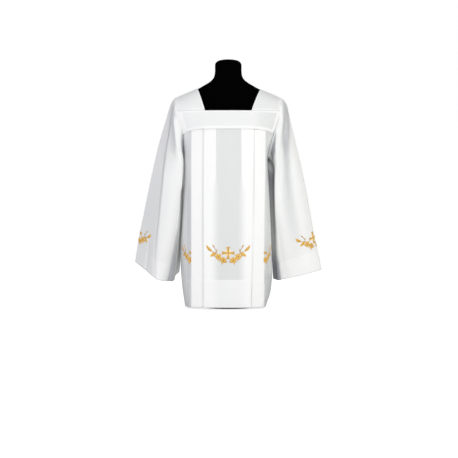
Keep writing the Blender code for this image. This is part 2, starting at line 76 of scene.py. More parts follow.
# The body from the hem up: half widths to the side seam or armhole, depths of the innermost
# layer at the middle, and how far that layer falls back at the edge of the box pleat.
BODY_COLUMNS = ("z", "left", "right", "front", "back", "sag")
BODY_ROWS = (
    (0.008, 0.177, 0.154, 0.1370, 0.1420, 0.014),
    (0.050, 0.184, 0.170, 0.1365, 0.1412, 0.014),
    (0.100, 0.190, 0.178, 0.1355, 0.1400, 0.014),
    (0.220, 0.196, 0.178, 0.1335, 0.1370, 0.014),
    (0.340, 0.190, 0.174, 0.1305, 0.1330, 0.014),
    (0.450, 0.184, 0.169, 0.1275, 0.1290, 0.014),
    (0.540, 0.182, 0.163, 0.1245, 0.1260, 0.014),
    (0.610, 0.182, 0.161, 0.1220, 0.1240, 0.015),
    (0.655, 0.181, 0.171, 0.1200, 0.1230, 0.018),
    (0.700, 0.182, 0.182, 0.1180, 0.1220, 0.022),
    (0.740, 0.192, 0.193, 0.1100, 0.1165, 0.011),
    (0.788, 0.205, 0.207, 0.0995, 0.1090, 0.004),
)

# The double box pleat: half widths to the fold of the top box and of the box under it, and the
# pitch between two layers.
PLEAT_COLUMNS = ("z", "face_left", "face_right", "box_left", "box_right", "pitch")
PLEAT_ROWS = (
    (0.008, 0.0968, 0.0890, 0.1456, 0.1355, 0.0032),
    (0.420, 0.0975, 0.0985, 0.1460, 0.1440, 0.0025),
    (0.712, 0.0961, 0.1018, 0.1461, 0.1478, 0.0017),
)
TOP_BOX_UNDERFOLD = 0.0495
LOWER_BOX_UNDERFOLD = 0.0620
LAYERS_BEHIND_FACE = 4
TURN_SHARE = 0.46
# The band fits over the pleats and falls back past their folds
STACK_FADE = 0.010
BAND_TURN = 0.43 * math.pi

# Shared waves of all layers of the skirt: height, where they start and are full, where they fade
# out at the sides, radians a metre across and down, and phase
RIPPLE_HEIGHT = 0.0011
RIPPLE_Z = (0.66, 0.06)
RIPPLE_SIDE_X = (0.140, 0.170)
RIPPLE_WAVES = (38.0, 71.0)
RIPPLE_SLANT = 3.1
RIPPLE_PHASE = {"front": 0.7, "back": 2.9}

# Sleeve rings from the armhole to the cuff: outer and inner edges, half depths in front and
# behind, and how far the front of the ring dips.
SLEEVE_COLUMNS = ("outer_x", "outer_z", "inner_x", "inner_y", "inner_z", "front", "back", "dip")
LEFT_SLEEVE_ROWS = (
    (0.2116, 0.855, 0.182, 0.000, 0.610, 0.078, 0.078, 0.000),
    (0.2260, 0.846, 0.188, -0.003, 0.600, 0.077, 0.077, 0.000),
    (0.2370, 0.826, 0.191, -0.006, 0.589, 0.077, 0.077, 0.000),
    (0.2480, 0.792, 0.192, -0.010, 0.572, 0.077, 0.077, 0.000),
    (0.2610, 0.748, 0.192, -0.016, 0.548, 0.076, 0.078, 0.001),
    (0.2780, 0.692, 0.191, -0.022, 0.512, 0.075, 0.080, 0.002),
    (0.2950, 0.625, 0.191, -0.026, 0.465, 0.074, 0.082, 0.004),
    (0.3120, 0.550, 0.191, -0.028, 0.408, 0.073, 0.084, 0.007),
    (0.3290, 0.468, 0.194, -0.028, 0.345, 0.073, 0.086, 0.011),
    (0.3460, 0.385, 0.199, -0.026, 0.280, 0.074, 0.087, 0.016),
    (0.3620, 0.308, 0.204, -0.024, 0.217, 0.075, 0.088, 0.020),
    (0.3740, 0.240, 0.210, -0.022, 0.160, 0.076, 0.088, 0.024),
    (0.3830, 0.183, 0.217, -0.020, 0.112, 0.077, 0.088, 0.028),
)
RIGHT_SLEEVE_ROWS = (
    (0.2116, 0.855, 0.161, 0.000, 0.610, 0.078, 0.078, 0.000),
    (0.2270, 0.846, 0.172, 0.000, 0.600, 0.077, 0.077, 0.000),
    (0.2400, 0.826, 0.179, -0.002, 0.589, 0.076, 0.077, 0.000),
    (0.2480, 0.794, 0.184, -0.004, 0.572, 0.074, 0.078, 0.000),
    (0.2580, 0.748, 0.187, -0.006, 0.547, 0.071, 0.080, 0.000),
    (0.2720, 0.690, 0.188, -0.008, 0.510, 0.068, 0.082, 0.000),
    (0.2870, 0.622, 0.188, -0.010, 0.463, 0.065, 0.085, 0.000),
    (0.3040, 0.546, 0.188, -0.012, 0.408, 0.062, 0.088, 0.000),
    (0.3210, 0.462, 0.189, -0.014, 0.346, 0.060, 0.091, 0.000),
    (0.3370, 0.376, 0.191, -0.016, 0.282, 0.058, 0.093, 0.000),
    (0.3530, 0.290, 0.193, -0.018, 0.218, 0.056, 0.095, 0.000),
    (0.3700, 0.216, 0.196, -0.018, 0.161, 0.054, 0.096, 0.000),
    (0.3850, 0.150, 0.200, -0.018, 0.107, 0.053, 0.096, 0.000),
)
SLEEVE_SQUARE = 2.3
ARMHOLE_DEPTH_LIMIT = 0.985
ARMHOLE_GAP_TOP = 0.0003
ARMHOLE_GAP_BOTTOM = 0.0004
ARMHOLE_SHAPE_REACH = 0.35
FRONT_FOLD_REACH = 0.14
FRONT_FOLD_ANGLE = 132.0
FRONT_FOLD_SPAN = 58.0
FRONT_FOLD_SQUARE = 1.2
FRONT_FOLD_FULL = 0.12
FRONT_FOLD_END = (0.90, 0.55)
RING_STEP = 0.01
CUFF_HEM_FROM = 0.897
CUFF_HEM_EDGE = 0.002

# Folds in the sleeves: start and end along the sleeve, place round the ring in degrees from the
# outer edge towards the front at both ends, width in degrees and depth.
LEFT_FOLDS = (
    (0.05, 0.50, 62.0, 112.0, 10.0, 0.0030),
    (0.78, 1.30, 52.0, 55.0, 6.0, 0.0030),
    (0.45, 1.30, 136.0, 138.0, 26.0, 0.0150),
    (0.10, 1.15, -50.0, -66.0, 18.0, 0.0100),
    (0.20, 1.15, -100.0, -102.0, 16.0, 0.0080),
)
RIGHT_FOLDS = (
    (0.08, 0.62, 62.0, 112.0, 16.0, 0.0140),
    (0.40, 1.15, 98.0, 80.0, 20.0, 0.0040),
    (0.30, 1.15, 40.0, 44.0, 24.0, 0.0050),
    (0.62, 1.30, 136.0, 138.0, 26.0, 0.0120),
    (0.10, 1.15, -42.0, -60.0, 18.0, 0.0110),
    (0.15, 1.15, -96.0, -98.0, 16.0, 0.0100),
)
# The flat stretch of each sleeve's front from its outer edge to a crease: the crease's place in
# degrees, how deep it lies and how flat the stretch is, from 0 to 1.
FLAT_COLUMNS = ("along", "crease", "depth", "flat")
LEFT_FLAT_ROWS = (
    (0.00, 49.0, 0.008, 0.0),
    (0.14, 54.0, 0.012, 1.0),
    (0.40, 64.0, 0.016, 1.0),
    (1.00, 85.0, 0.016, 1.0),
)
RIGHT_FLAT_ROWS = (
    (0.00, 46.0, 0.006, 0.0),
    (0.12, 53.0, 0.011, 1.0),
    (0.22, 60.0, 0.012, 0.9),
    (0.40, 72.0, 0.006, 0.0),
    (1.00, 80.0, 0.000, 0.0),
)
CREASE_WIDTH = 13.0
# How far the front and the back of each sleeve's inner edge lean to the body
LEAN_COLUMNS = ("along", "left_front", "right_front", "left_back", "right_back")
LEAN_ROWS = (
    (0.00, 0.000, 0.000, 0.000, 0.000),
    (0.10, 0.008, 0.002, 0.005, 0.011),
    (0.24, 0.017, 0.003, 0.013, 0.030),
    (0.45, 0.016, 0.009, 0.019, 0.033),
    (0.75, 0.008, 0.006, 0.026, 0.029),
    (1.00, 0.008, 0.000, 0.040, 0.034),
)
FRONT_LEAN_ANGLE = 130.0
FRONT_LEAN_SPAN = 46.0
BACK_LEAN_ANGLE = {"left": -126.0, "right": -133.0}
BACK_LEAN_SPAN = 43.0
FOLD_RISE = 0.12
FOLD_FALL = 0.15
GATHERS = 5
GATHER_SPAN = 75.0
GATHER_HEIGHT = 0.0016
GATHER_REACH = 0.16
PUCKERS = 17
PUCKER_HEIGHT = 0.0020
PUCKER_REACH = 0.07

# The dress form's torso and the cap on its neck.
FORM_COLUMNS = ("z", "half", "front", "back")
TORSO_ROWS = (
    (0.200, 0.1440, 0.1000, 0.1060),
    (0.206, 0.1500, 0.1050, 0.1110),
    (0.225, 0.1540, 0.1080, 0.1150),
    (0.270, 0.1560, 0.1090, 0.1180),
    (0.350, 0.1490, 0.1060, 0.1060),
    (0.440, 0.1380, 0.1010, 0.0940),
    (0.540, 0.1450, 0.1070, 0.1010),
    (0.620, 0.1520, 0.1110, 0.1090),
    (0.690, 0.1600, 0.1110, 0.1130),
    (0.740, 0.1690, 0.1040, 0.1110),
    (0.780, 0.1790, 0.0930, 0.1040),
    (0.810, 0.1880, 0.0820, 0.0940),
    (0.835, 0.1960, 0.0720, 0.0830),
    (0.850, 0.1960, 0.0660, 0.0760),
    (0.860, 0.1880, 0.0625, 0.0720),
    (0.870, 0.1718, 0.0600, 0.0690),
    (0.880, 0.1496, 0.0580, 0.0670),
    (0.888, 0.1305, 0.0570, 0.0655),
    (0.896, 0.1150, 0.0560, 0.0640),
    (0.904, 0.1010, 0.0555, 0.0625),
    (0.912, 0.0870, 0.0550, 0.0610),
    (0.921, 0.0740, 0.0545, 0.0595),
    (0.932, 0.0630, 0.0540, 0.0580),
    (0.948, 0.0565, 0.0540, 0.0565),
    (0.965, 0.0547, 0.0540, 0.0555),
    (0.986, 0.0547, 0.0540, 0.0550),
)
NECK_CAP_ROWS = (
    (0.9863, 0.0547, 0.0540, 0.0550),
    (0.9930, 0.0538, 0.0533, 0.0543),
    (0.9990, 0.0500, 0.0495, 0.0505),
    (1.0035, 0.0425, 0.0420, 0.0430),
    (1.0066, 0.0290, 0.0285, 0.0295),
    (1.0080, 0.0130, 0.0125, 0.0135),
)
FORM_SQUARE = 2.2

# Embroidery. A motif is laid out flat around the middle of its cross, in millimetres, and its
# side parts are given for one side and mirrored. Tone runs from dark brown (0) over golden (0.5)
# to pale gold (1).
MOTIF_Z = 0.2225
# Middle of a sleeve's motif: share of the sleeve's length, and distance to the front of its edge
SLEEVE_MOTIF = {"left": (0.840, -0.010), "right": (0.838, 0.031)}
SIDE_MOTIF_X = 0.131
ARM_LENGTH = 25.5
ARM_NECK = 4.0
ARM_END = 16.0
ARM_FLARE = 1.7
ARM_NOTCH = 2.2
ARM_NOTCH_FROM = 0.7
# Rays between the arms: from and to their distance from the middle, width, tone
RAY = (3.5, 15.5, 8.4, 0.84)
ARM_TONE = 0.36
# x, z, radius, tone
MIDDLE_DOT = (0.0, 0.0, 3.0, 0.62)
# foot x, foot z, tip x, tip z, width, bend, tone
LEAVES = (
    (46.0, 0.0, 71.0, -14.0, 12.5, 1.6, 0.46),
    (64.0, 6.0, 86.5, 31.0, 10.5, -1.8, 0.42),
    (54.0, 20.0, 62.0, 33.0, 4.6, 0.6, 0.28),
    (47.5, 6.0, 42.5, 15.0, 4.4, 0.5, 0.34),
)
# start x, start z, bend x, bend z, end x, end z, width, tone
STEMS = (
    (4.0, -37.0, 34.0, -36.0, 46.0, 1.0, 2.2, 0.24),
    (46.0, 1.0, 48.0, 12.0, 56.0, 23.0, 1.9, 0.18),
    (46.0, 1.0, 56.0, 1.5, 66.0, 8.0, 1.9, 0.22),
)
# x, z, radius, petals, turn in degrees, tone
BLOSSOMS = (
    (19.5, -28.5, 12.4, 5, 20.0, 0.50),
    (38.5, -15.0, 12.8, 5, 62.0, 0.54),
)
# Shares of a blossom's radius: foot of a petal, its width, and the heart
PETAL_FOOT = 0.12
PETAL_WIDTH = 1.02
PETAL_VEIN = 0.22
HEART = 0.24
HEART_TONE = 0.12
# x, z, radius, tone
BERRIES = (
    (7.0, -34.5, 3.0, 0.30),
    (24.0, -42.5, 2.6, 0.34),
    (34.5, -31.0, 2.6, 0.40),
    (53.0, -12.0, 2.6, 0.28),
)
# Shapes and tones of the patches. A height of 1 is THREAD_RISE.
PADDING = 0.97
THREAD_SLANT = 0.7
LEAF_VEIN_REACH = 0.22
LEAF_SKEW = 0.85
LEAF_FULLNESS = 0.8
LEAF_BLUNT = 0.02
LEAF_SHOULDER = 0.25
LEAF_VEIN = 0.16
LEAF_TIP_TONE = 0.16
LEAF_SIDE_TONE = 0.05
STEM_HEIGHT = 0.6
STEM_TAPER = 1 / 6
STEM_END = 0.1
ARM_HEIGHT = 1.1
ARM_TAPER = 1 / 8
ARM_TIP = 0.15
ARM_SLANT = 0.8
ARM_VEIN = 0.12
ARM_VEIN_REACH = 0.2
ARM_SIDE_TONE = 0.20
DOT_CORE = 0.02
DOT_TOP_TONE = 0.1
THREAD_RISE = 0.0008
THREAD_WALL = 0.0004
THREAD_PITCH = 0.0005
NORMAL_STEP = 1e-4

# Straight stitches of the seams and hems
STITCH_LENGTH = 0.0025
STITCH_PITCH = 0.0034
STITCH_WIDTH = 0.0005
STITCH_AHEAD = 0.001
# A turned hem stands out by this step, which fades out towards the side seams
HEM_STEP = 0.0004
HEM_STEP_FADE = 0.06
WELT_RADIUS = 0.0009

# Steps of the fine surfaces
PANEL_ROWS = 120
TURN_POINTS = 6
LAYER_POINTS = (30, 9, 18, 16, 16)
SIDE_POINTS = 30
BAND_SHAPE = (26, 90)
STRAP_SHAPE = (64, 30)
SLEEVE_SHAPE = (130, 190)
FORM_POINTS_ROUND = 128
FORM_LEVELS = 90
WELT_POINTS = (120, 8)
LEAF_STEPS = (13, 7)
PETAL_STEPS = (8, 5)
STEM_STEPS = (15, 5)
ARM_STEPS = (13, 9)
DOT_STEPS = (5, 13)
# Lines on which a motif's place is measured: from, to and points, across a panel in half turns,
# round a sleeve in radians, and down it as shares of its length
PANEL_LINE = (-0.499, 0.499, 900)
SLEEVE_LINE = (-1.9, 1.9, 600)
SLEEVE_FALL = (0.5, 1.0, 300)

# Whiteness of cloth, which also carries painted light and shade. 1 is cloth on cloth, 0 is single
# cloth, and CREASE the painted shade of a sharp fold.
# A pair of heights, distances or angles says where a change starts and where it is full.
SINGLE_STOP = 0.25
CREASE = -SINGLE_STOP / (1.0 - SINGLE_STOP)
# The single middle of the face: how far it lies off centre, the softness of its edges above and
# below, and the heights between which that changes
MIDDLE_SHIFT = 0.0022
MIDDLE_SOFT = (0.002, 0.042)
MIDDLE_SOFT_Z = (0.56, 0.43)
SOFT_INSIDE = 0.4
HEM_WHITENESS = 0.70
SIDE_HEM_WHITENESS = 0.03
UPPER_Z = (0.45, 0.53)
SKIRT_Z = (0.22, 0.30)
FOOT_Z = (0.17, 0.11)
UNDERARM_FADE_Z = (0.70, 0.65)
INWARD_X = (0.168, 0.158)
SIDE_FROM_BOX = 0.004
UNDER_FACE = ((0.25, 0.55), (1.8, 1.5))
LINE_LOW_Z = (0.32, 0.17)
SLOT_SOFT = (0.004, 0.02)
SLOT_TOP_Z = (0.715, 0.705)
SLOT_SLANT_FROM_Z = 0.600
# A spot in the right slot where the painted shade is lifted by painted light: height, reach and strength
SLOT_LIGHT = (0.597, 0.022, 0.9)
# The single cloth past the box pleat, on the left and on the right: its whiteness, and painted light
# and shade added in places and towards its edge (lighter higher up and towards the slot, darker low
# down, at the foot, under the arm and towards the box fold), the painted shaded line beside the
# face's fold, and the painted shade in the slot between body and sleeve
SIDE_WHITENESS_AND_PAINTED_LIGHT = (
    ("white", 0.05, -0.02),
    ("upper", 0.06, 0.00),
    ("below_skirt", 0.00, -0.05),
    ("foot", 0.00, -0.07),
    ("underarm", 0.00, -0.06),
    ("inward", -0.14, 0.00),
    ("edge_above_foot", 0.00, 0.18),
    ("edge_skirt", 0.40, 0.27),
    ("edge_upper", 0.55, 0.00),
    ("edge_from", 0.168, 0.158),
    ("edge_full", 0.177, 0.168),
    ("line", 0.0046, 0.0014),
    ("line_low", -0.0014, 0.0008),
    ("slot", 0.1750, 0.1560),
    ("slot_slant", 0.00, 0.27),
    ("slot_from_z", 0.600, 0.540),
)
# The band: its whiteness, what its doubled strips add, the strips at its foot and top as shares
# of its height, the seam allowances at its ends, and the painted shade on the stretch at its right
BAND_WHITENESS = 0.55
BAND_DOUBLED = 0.43
BAND_FOOT_STRIP = (0.17, 0.14)
BAND_TOP_STRIP = (0.91, 0.93)
BAND_ALLOWANCE = {"left": 0.022, "right": 0.012}
BAND_ALLOWANCE_SOFT = 0.005
BAND_PAINTED_SHADE = 1.1
BAND_PAINTED_SHADE_X = (0.090, 0.150)
# The shoulder pieces: the same, with strips at the neck, the armhole and both ends; the right piece
# is set less white, as painted shade
STRAP_WHITENESS_WITH_PAINTED_SHADE = {"left": 0.42, "right": 0.25}
STRAP_DOUBLED = 0.4
STRAP_STRIPS = ((0.06, 0.03), (0.92, 0.94))
STRAP_END_STRIP = (0.10, 0.04)
# The ridge of the armhole seam is painted in crease shade, with painted light at the shoulder and,
# less, at the underarm
WELT_LIT_Z = (0.700, 0.745)
WELT_UNDERARM_Z = (0.622, 0.612)
WELT_UNDERARM = 0.7
WELT_PAINTED_LIGHT = 1.13
WELT_PAINTED_SHADE = -0.333
# The sleeves, and soft patches of painted shade and painted light on them: strength, from and full
# along the sleeve, from and full in degrees round the ring
SLEEVE_WHITENESS = 0.78
SEAM_SHADE = (0.80, 0.055, 0.015, 93.0, 101.0)
SEAM_SHADE_END = (134.0, 124.0)
SEAM_SHADE_SHARE = {"left": 0.4, "right": 1.0}
HEAD_SLOT_LIGHT = (1.0, 0.24, 0.16, 150.0, 162.0)
BACK_SLOT_LIGHT = (0.5, 0.55, 0.65, 158.0, 180.0)
SLEEVE_LIGHT = {"left": (0.22, 0.18, 0.23, 125.0, 145.0), "right": (0.20, 0.30, 0.36, 36.0, 16.0)}
SLEEVE_LIGHT_END = 260.0
# Shade before the left sleeve's fold: strength, along, and degrees from where the fold's shade starts
OUTER_SHADE = (0.5, 0.46, 0.76)
OUTER_SHADE_FROM = (4.0, -2.0)
OUTER_SHADE_END = -90.0
# The shaded pucker in the sleeve's head: strength, middle and reach in degrees, reach along
PUCKER_SHADE = (0.65, 62.0, 8.0)
PUCKER_SHADE_ALONG = (0.050, 0.015)
# Shade in the sleeves' long soft folds, round the ring in degrees from the outer edge towards the
# front: share along the sleeve, start, its softness, end, its softness, strength
LEFT_SHADE_ROWS = (
    (0.02, 48.0, 8.0, 100.0, 6.0, 0.00),
    (0.05, 50.0, 6.0, 98.0, 6.0, 0.74),
    (0.10, 52.0, 5.0, 92.0, 6.0, 0.80),
    (0.15, 53.0, 5.0, 92.0, 6.0, 0.84),
    (0.20, 54.0, 5.0, 98.0, 7.0, 0.88),
    (0.27, 55.0, 5.0, 105.0, 10.0, 0.84),
    (0.34, 58.0, 5.0, 114.0, 20.0, 0.77),
    (0.42, 60.0, 5.0, 114.0, 36.0, 0.70),
    (0.52, 63.0, 5.0, 106.0, 38.0, 0.60),
    (0.60, 66.0, 5.0, 108.0, 38.0, 0.57),
    (0.80, 74.0, 5.0, 108.0, 32.0, 0.44),
    (0.90, 79.0, 5.0, 108.0, 28.0, 0.12),
    (1.00, 85.0, 4.0, 108.0, 24.0, 0.00),
)
RIGHT_SHADE_ROWS = (
    (0.03, -60.0, 30.0, 92.0, 8.0, 0.00),
    (0.06, -60.0, 30.0, 93.0, 8.0, 0.70),
    (0.12, -50.0, 30.0, 96.0, 9.0, 0.78),
    (0.20, -40.0, 30.0, 99.0, 10.0, 0.80),
    (0.27, -15.0, 35.0, 97.0, 8.0, 0.82),
    (0.33, 15.0, 35.0, 95.0, 6.0, 0.86),
    (0.38, 35.0, 35.0, 95.5, 6.0, 0.84),
    (0.43, 52.0, 28.0, 98.0, 8.0, 0.76),
    (0.52, 70.0, 19.0, 104.0, 13.0, 0.75),
    (0.61, 72.0, 20.0, 115.0, 26.0, 0.75),
    (0.72, 70.0, 24.0, 111.0, 21.0, 0.63),
    (0.80, 66.0, 24.0, 112.0, 24.0, 0.42),
    (0.88, 68.0, 30.0, 114.0, 28.0, 0.20),
    (1.00, 70.0, 30.0, 118.0, 30.0, 0.00),
)
# Shade on the sleeves' inner side, which faces the body: share along, start, softness, strength
LEFT_SLOT_ROWS = (
    (0.00, 112.0, 8.0, 0.0),
    (0.03, 103.0, 16.0, 0.9),
    (0.10, 106.0, 13.0, 1.0),
    (0.14, 115.0, 9.0, 1.0),
    (0.17, 135.0, 12.0, 1.0),
    (0.20, 146.0, 12.0, 0.7),
    (0.26, 165.0, 15.0, 0.0),
    (0.50, 165.0, 20.0, 0.0),
    (0.60, 125.0, 40.0, 0.5),
    (0.75, 116.0, 36.0, 0.88),
    (0.85, 108.0, 36.0, 0.94),
    (1.00, 96.0, 36.0, 0.94),
)
RIGHT_SLOT_ROWS = (
    (0.00, 98.0, 8.0, 0.50),
    (0.03, 104.0, 8.0, 0.60),
    (0.05, 109.0, 6.0, 0.90),
    (0.10, 110.5, 6.0, 1.00),
    (0.17, 111.5, 6.0, 1.00),
    (0.22, 117.0, 8.0, 0.70),
    (0.27, 124.0, 9.0, 0.42),
    (0.31, 128.0, 8.0, 0.70),
    (0.35, 131.0, 8.0, 0.90),
    (0.40, 133.0, 8.0, 1.00),
    (0.50, 136.0, 10.0, 0.90),
    (0.64, 144.0, 20.0, 0.75),
    (0.80, 142.0, 32.0, 0.68),
    (0.90, 135.0, 26.0, 0.95),
    (1.00, 135.0, 24.0, 1.00),
)
SLOT_END = {"left": 232.0, "right": 250.0}
SLOT_END_SOFT = 20.0

# Colours of the painted shade in a crease, of single cloth and of cloth on cloth, and of thread from
# dark over golden to pale
CLOTH_COLOURS = ((0.352, 0.352, 0.385), (0.718, 0.731, 0.725), (0.90, 0.90, 0.895))
THREAD_COLOURS = ((0.150, 0.060, 0.006), (0.76, 0.43, 0.06), (0.96, 0.78, 0.38))
THREADS_A_METRE = 1400.0
# Uneven threads: waves a metre across and along them, and the change of tone
SLUB_ACROSS = 900.0
SLUB_ALONG = 14.0
SLUB_TONE = 0.10
THREAD_TONE = 0.30
RELIEF_DEPTH = 0.0001
WEAVE_RELIEF = 0.10
RIDGE_RELIEF = 0.35
RIDGE_ALONG = 60.0
CLOTH_LOOKS = {
    "Roughness": 0.82, "Specular IOR Level": 0.25, "Sheen Weight": 0.08, "Sheen Roughness": 0.5,
}
THREAD_LOOKS = {"Roughness": 0.42, "Specular IOR Level": 0.35, "Sheen Weight": 0.10}
# Plain finishes: colour, roughness, grains a metre, depth of the grain, other looks
FINISHES = {
    "pale_floor": ((0.45, 0.45, 0.45), 0.85, 600.0, 0.00001, {"Emission Color": (1.0, 1.0, 1.0, 1.0)}),
    "black_jersey": ((0.0006, 0.0006, 0.0007), 0.85, 900.0, 0.0002, {"Specular IOR Level": 0.01}),
    "black_metal": ((0.020, 0.020, 0.022), 0.40, 1200.0, 0.0001, {}),
}
GRAIN_COLOUR = 0.2
GRAIN_ROUGHNESS = 0.15
GRAIN_RELIEF = 0.3

# Brightness of the floor: what the camera sees beside the shadows, and what it sends to the cloth
FLOOR_SEEN = 0.78
FLOOR_LIGHT = 0.19

# Camera: level, three metres in front of the form, the frame 458 pixels wide and high
IMAGE_SIZE = 458
FOCAL_PIXELS = 730
CAMERA_PLACE = (0.003, -3.0, 0.3164)
SENSOR = 36.0

# The floor is flat out to a radius, and bends up in a quarter circle to a wall
FLOOR_RADIUS = 4.0
FLOOR_BEND = 4.0
FLOOR_TOP = 9.0
FLOOR_POINTS = 129
FLOOR_BEND_POINTS = 20

# Round lights: name, place, width, power in watts, colour. All look at one point in the middle.
LIGHTS = (
    ("key", (0.20, -3.2, 1.25), 1.2, 58.0, (1.0, 1.0, 0.995)),
    ("left_fill", (-3.0, -1.2, 0.9), 1.0, 9.0, (0.80, 0.75, 1.0)),
    ("right_fill", (3.0, -0.6, 0.9), 1.0, 12.0, (1.0, 0.98, 0.88)),
    ("rear", (0.6, 3.0, 2.0), 2.0, 34.0, (1.0, 1.0, 1.0)),
)
LIGHTS_AIM = (0.0, 0.0, 0.45)
SKY_COLOUR = (0.97, 0.98, 1.0, 1.0)
SKY_STRENGTH = 0.50


# ---------------------------------------------------------------- shape helpers


def column(names, rows, name, at):
    """A table's column at any value of its first column.

    A cubic between the rows. Its slope at a row is the mean of the slopes on both sides, each
    weighted with the length of the other's span.
    """
    table = np.array(rows)
    place, value = table[:, 0], table[:, names.index(name)]
    slope = np.gradient(value, place)
    span = np.clip(np.searchsorted(place, at) - 1, 0, len(place) - 2)
    width = place[span + 1] - place[span]
    t = np.clip((at - place[span]) / width, 0.0, 1.0)
    ends = value[span] * (1 + 2 * t) * (1 - t) ** 2 + value[span + 1] * t**2 * (3 - 2 * t)
    slopes = slope[span] * t * (1 - t) ** 2 - slope[span + 1] * t**2 * (1 - t)
    return ends + width * slopes


def straight_columns(rows, at):
    """All columns of a table but the first, on straight lines between its rows."""
    table = np.array(rows)
    return [np.interp(at, table[:, 0], values) for values in table[:, 1:].T]


def body(name, z):
    """A measure of the body at heights z."""
    return column(BODY_COLUMNS, BODY_ROWS, name, z)


def pleat(name, z):
    """A measure of the box pleat at heights z."""
    return column(PLEAT_COLUMNS, PLEAT_ROWS, name, z)


def on_side(read, name, x, z):
    """A measure of the body or the pleat on the side where each x lies."""
    return np.where(x < 0.0, read(name + "left", z), read(name + "right", z))


def fade(value, start, full):
    """0 at the start and 1 where it is full, with no slope at either end."""
    t = np.clip((value - start) / (full - start), 0.0, 1.0)
    return t * t * (3.0 - 2.0 * t)


def power(value, exponent):
    """The size of a value to a power, with the value's sign."""
    return np.sign(value) * np.abs(value) ** exponent


def unit(vectors):
    """Vectors divided by their lengths."""
    return vectors / np.linalg.norm(vectors, axis=-1, keepdims=True)


def stack(*parts):
    """Arrays of one measure each, joined as the columns of points."""
    return np.stack(np.broadcast_arrays(*parts), axis=-1)


def lengths(line):
    """Distance of each point of a line from its first, measured along it."""
    return np.concatenate([[0.0], np.cumsum(np.linalg.norm(np.diff(line, axis=0), axis=1))])


def half_turns(angle):
    """The same angle, between half a turn back and half a turn on."""
    return (angle + math.pi) % (2 * math.pi) - math.pi


def circle(count):
    """Angles at even steps once round."""
    return np.arange(count) * 2 * math.pi / count


def surface_normals(grid, closed=False):
    """Unit normals of a grid: the cross product of its steps across and along."""
    if closed:
        across = np.roll(grid, -1, axis=1) - np.roll(grid, 1, axis=1)
    else:
        across = np.gradient(grid, axis=1)
    return unit(np.cross(across, np.gradient(grid, axis=0)))


def shoulder_x(side, rise):
    """The armhole's half width from the neckline's height (0) to the shoulder tip (1)."""
    start = body(side, NECKLINE_Z)
    return start + (SHOULDER_TIP_X - start) * rise


def shoulder_z(x):
    """Height of the straight shoulder line at a distance x from the middle."""
    fall = (SHOULDER_NECK_Z - SHOULDER_TIP_Z) / (SHOULDER_TIP_X - SHOULDER_NECK_X["left"])
    return SHOULDER_TIP_Z + fall * (SHOULDER_TIP_X - x)


def armhole_depth(z):
    """Half depth of the armhole: a quarter ellipse up to the neckline's height, and one above."""
    below = (NECKLINE_Z - z) / (NECKLINE_Z - UNDERARM_Z)
    above = (z - NECKLINE_Z) / (SHOULDER_TIP_Z - NECKLINE_Z)
    return ARMHOLE_HALF_DEPTH * np.sqrt(np.clip(1.0 - np.maximum(below, above) ** 2, 0.0, 1.0))


def body_depth(x, z, face):
    """Depth of the innermost layer of cloth at x.

    A cubic falls gently back from the middle. Past the box pleat a quarter ellipse takes it round
    to the side seam or, above the underarm, through the armhole.
    """
    box, edge = on_side(pleat, "box_", x, z), on_side(body, "", x, z)
    middle, sag = body(face, z), body("sag", z)
    at_edge = np.minimum(armhole_depth(z) / (middle - sag * (edge / box) ** 3), ARMHOLE_DEPTH_LIMIT)
    reach = (edge - box) / np.sqrt(1.0 - at_edge**2)
    round_side = np.clip((np.abs(x) - box) / reach, 0.0, 1.0)
    return (middle - sag * (np.abs(x) / box) ** 3) * np.sqrt(1.0 - round_side**2)


def band_seam_z(x):
    """Height of the seam under the band, which drops towards the armholes."""
    return BAND_SEAM_Z - BAND_SEAM_DROP * (np.abs(x) / body("left", BAND_SEAM_Z)) ** BAND_SEAM_CURVE


def skirt_ripple(x, z, face):
    """Small shared waves of all layers: two sines across, one of them slanting.

    They grow towards the hem and fade at the side seams.
    """
    phase = RIPPLE_PHASE[face]
    wide = np.sin(x * RIPPLE_WAVES[0] + phase)
    fine = np.sin(x * RIPPLE_WAVES[1] - RIPPLE_SLANT * z + 2.0 * phase)
    side = 1.0 - fade(np.abs(x), *RIPPLE_SIDE_X)
    return RIPPLE_HEIGHT * fade(z, *RIPPLE_Z) * side * (wide + 0.5 * fine)


# ---------------------------------------------------------------- pleated panels


def leg(start, end, layer, count):
    """A stretch of cloth along one layer, as places across and layers for every row."""
    t = (np.arange(count) + 0.5)[None, :] / count
    return start[:, None] * (1 - t) + end[:, None] * t, np.full((len(start), count), float(layer))


def turn(fold, radius, layer, way):
    """The half circle in which the cloth turns under at a fold, from one layer to the next."""
    angle = np.linspace(0.0, math.pi, TURN_POINTS)[None, :]
    x = fold[:, None] + way * radius[:, None] * (np.sin(angle) - 1.0)
    return x, layer + 0.5 - 0.5 * np.cos(angle) + np.zeros_like(x)


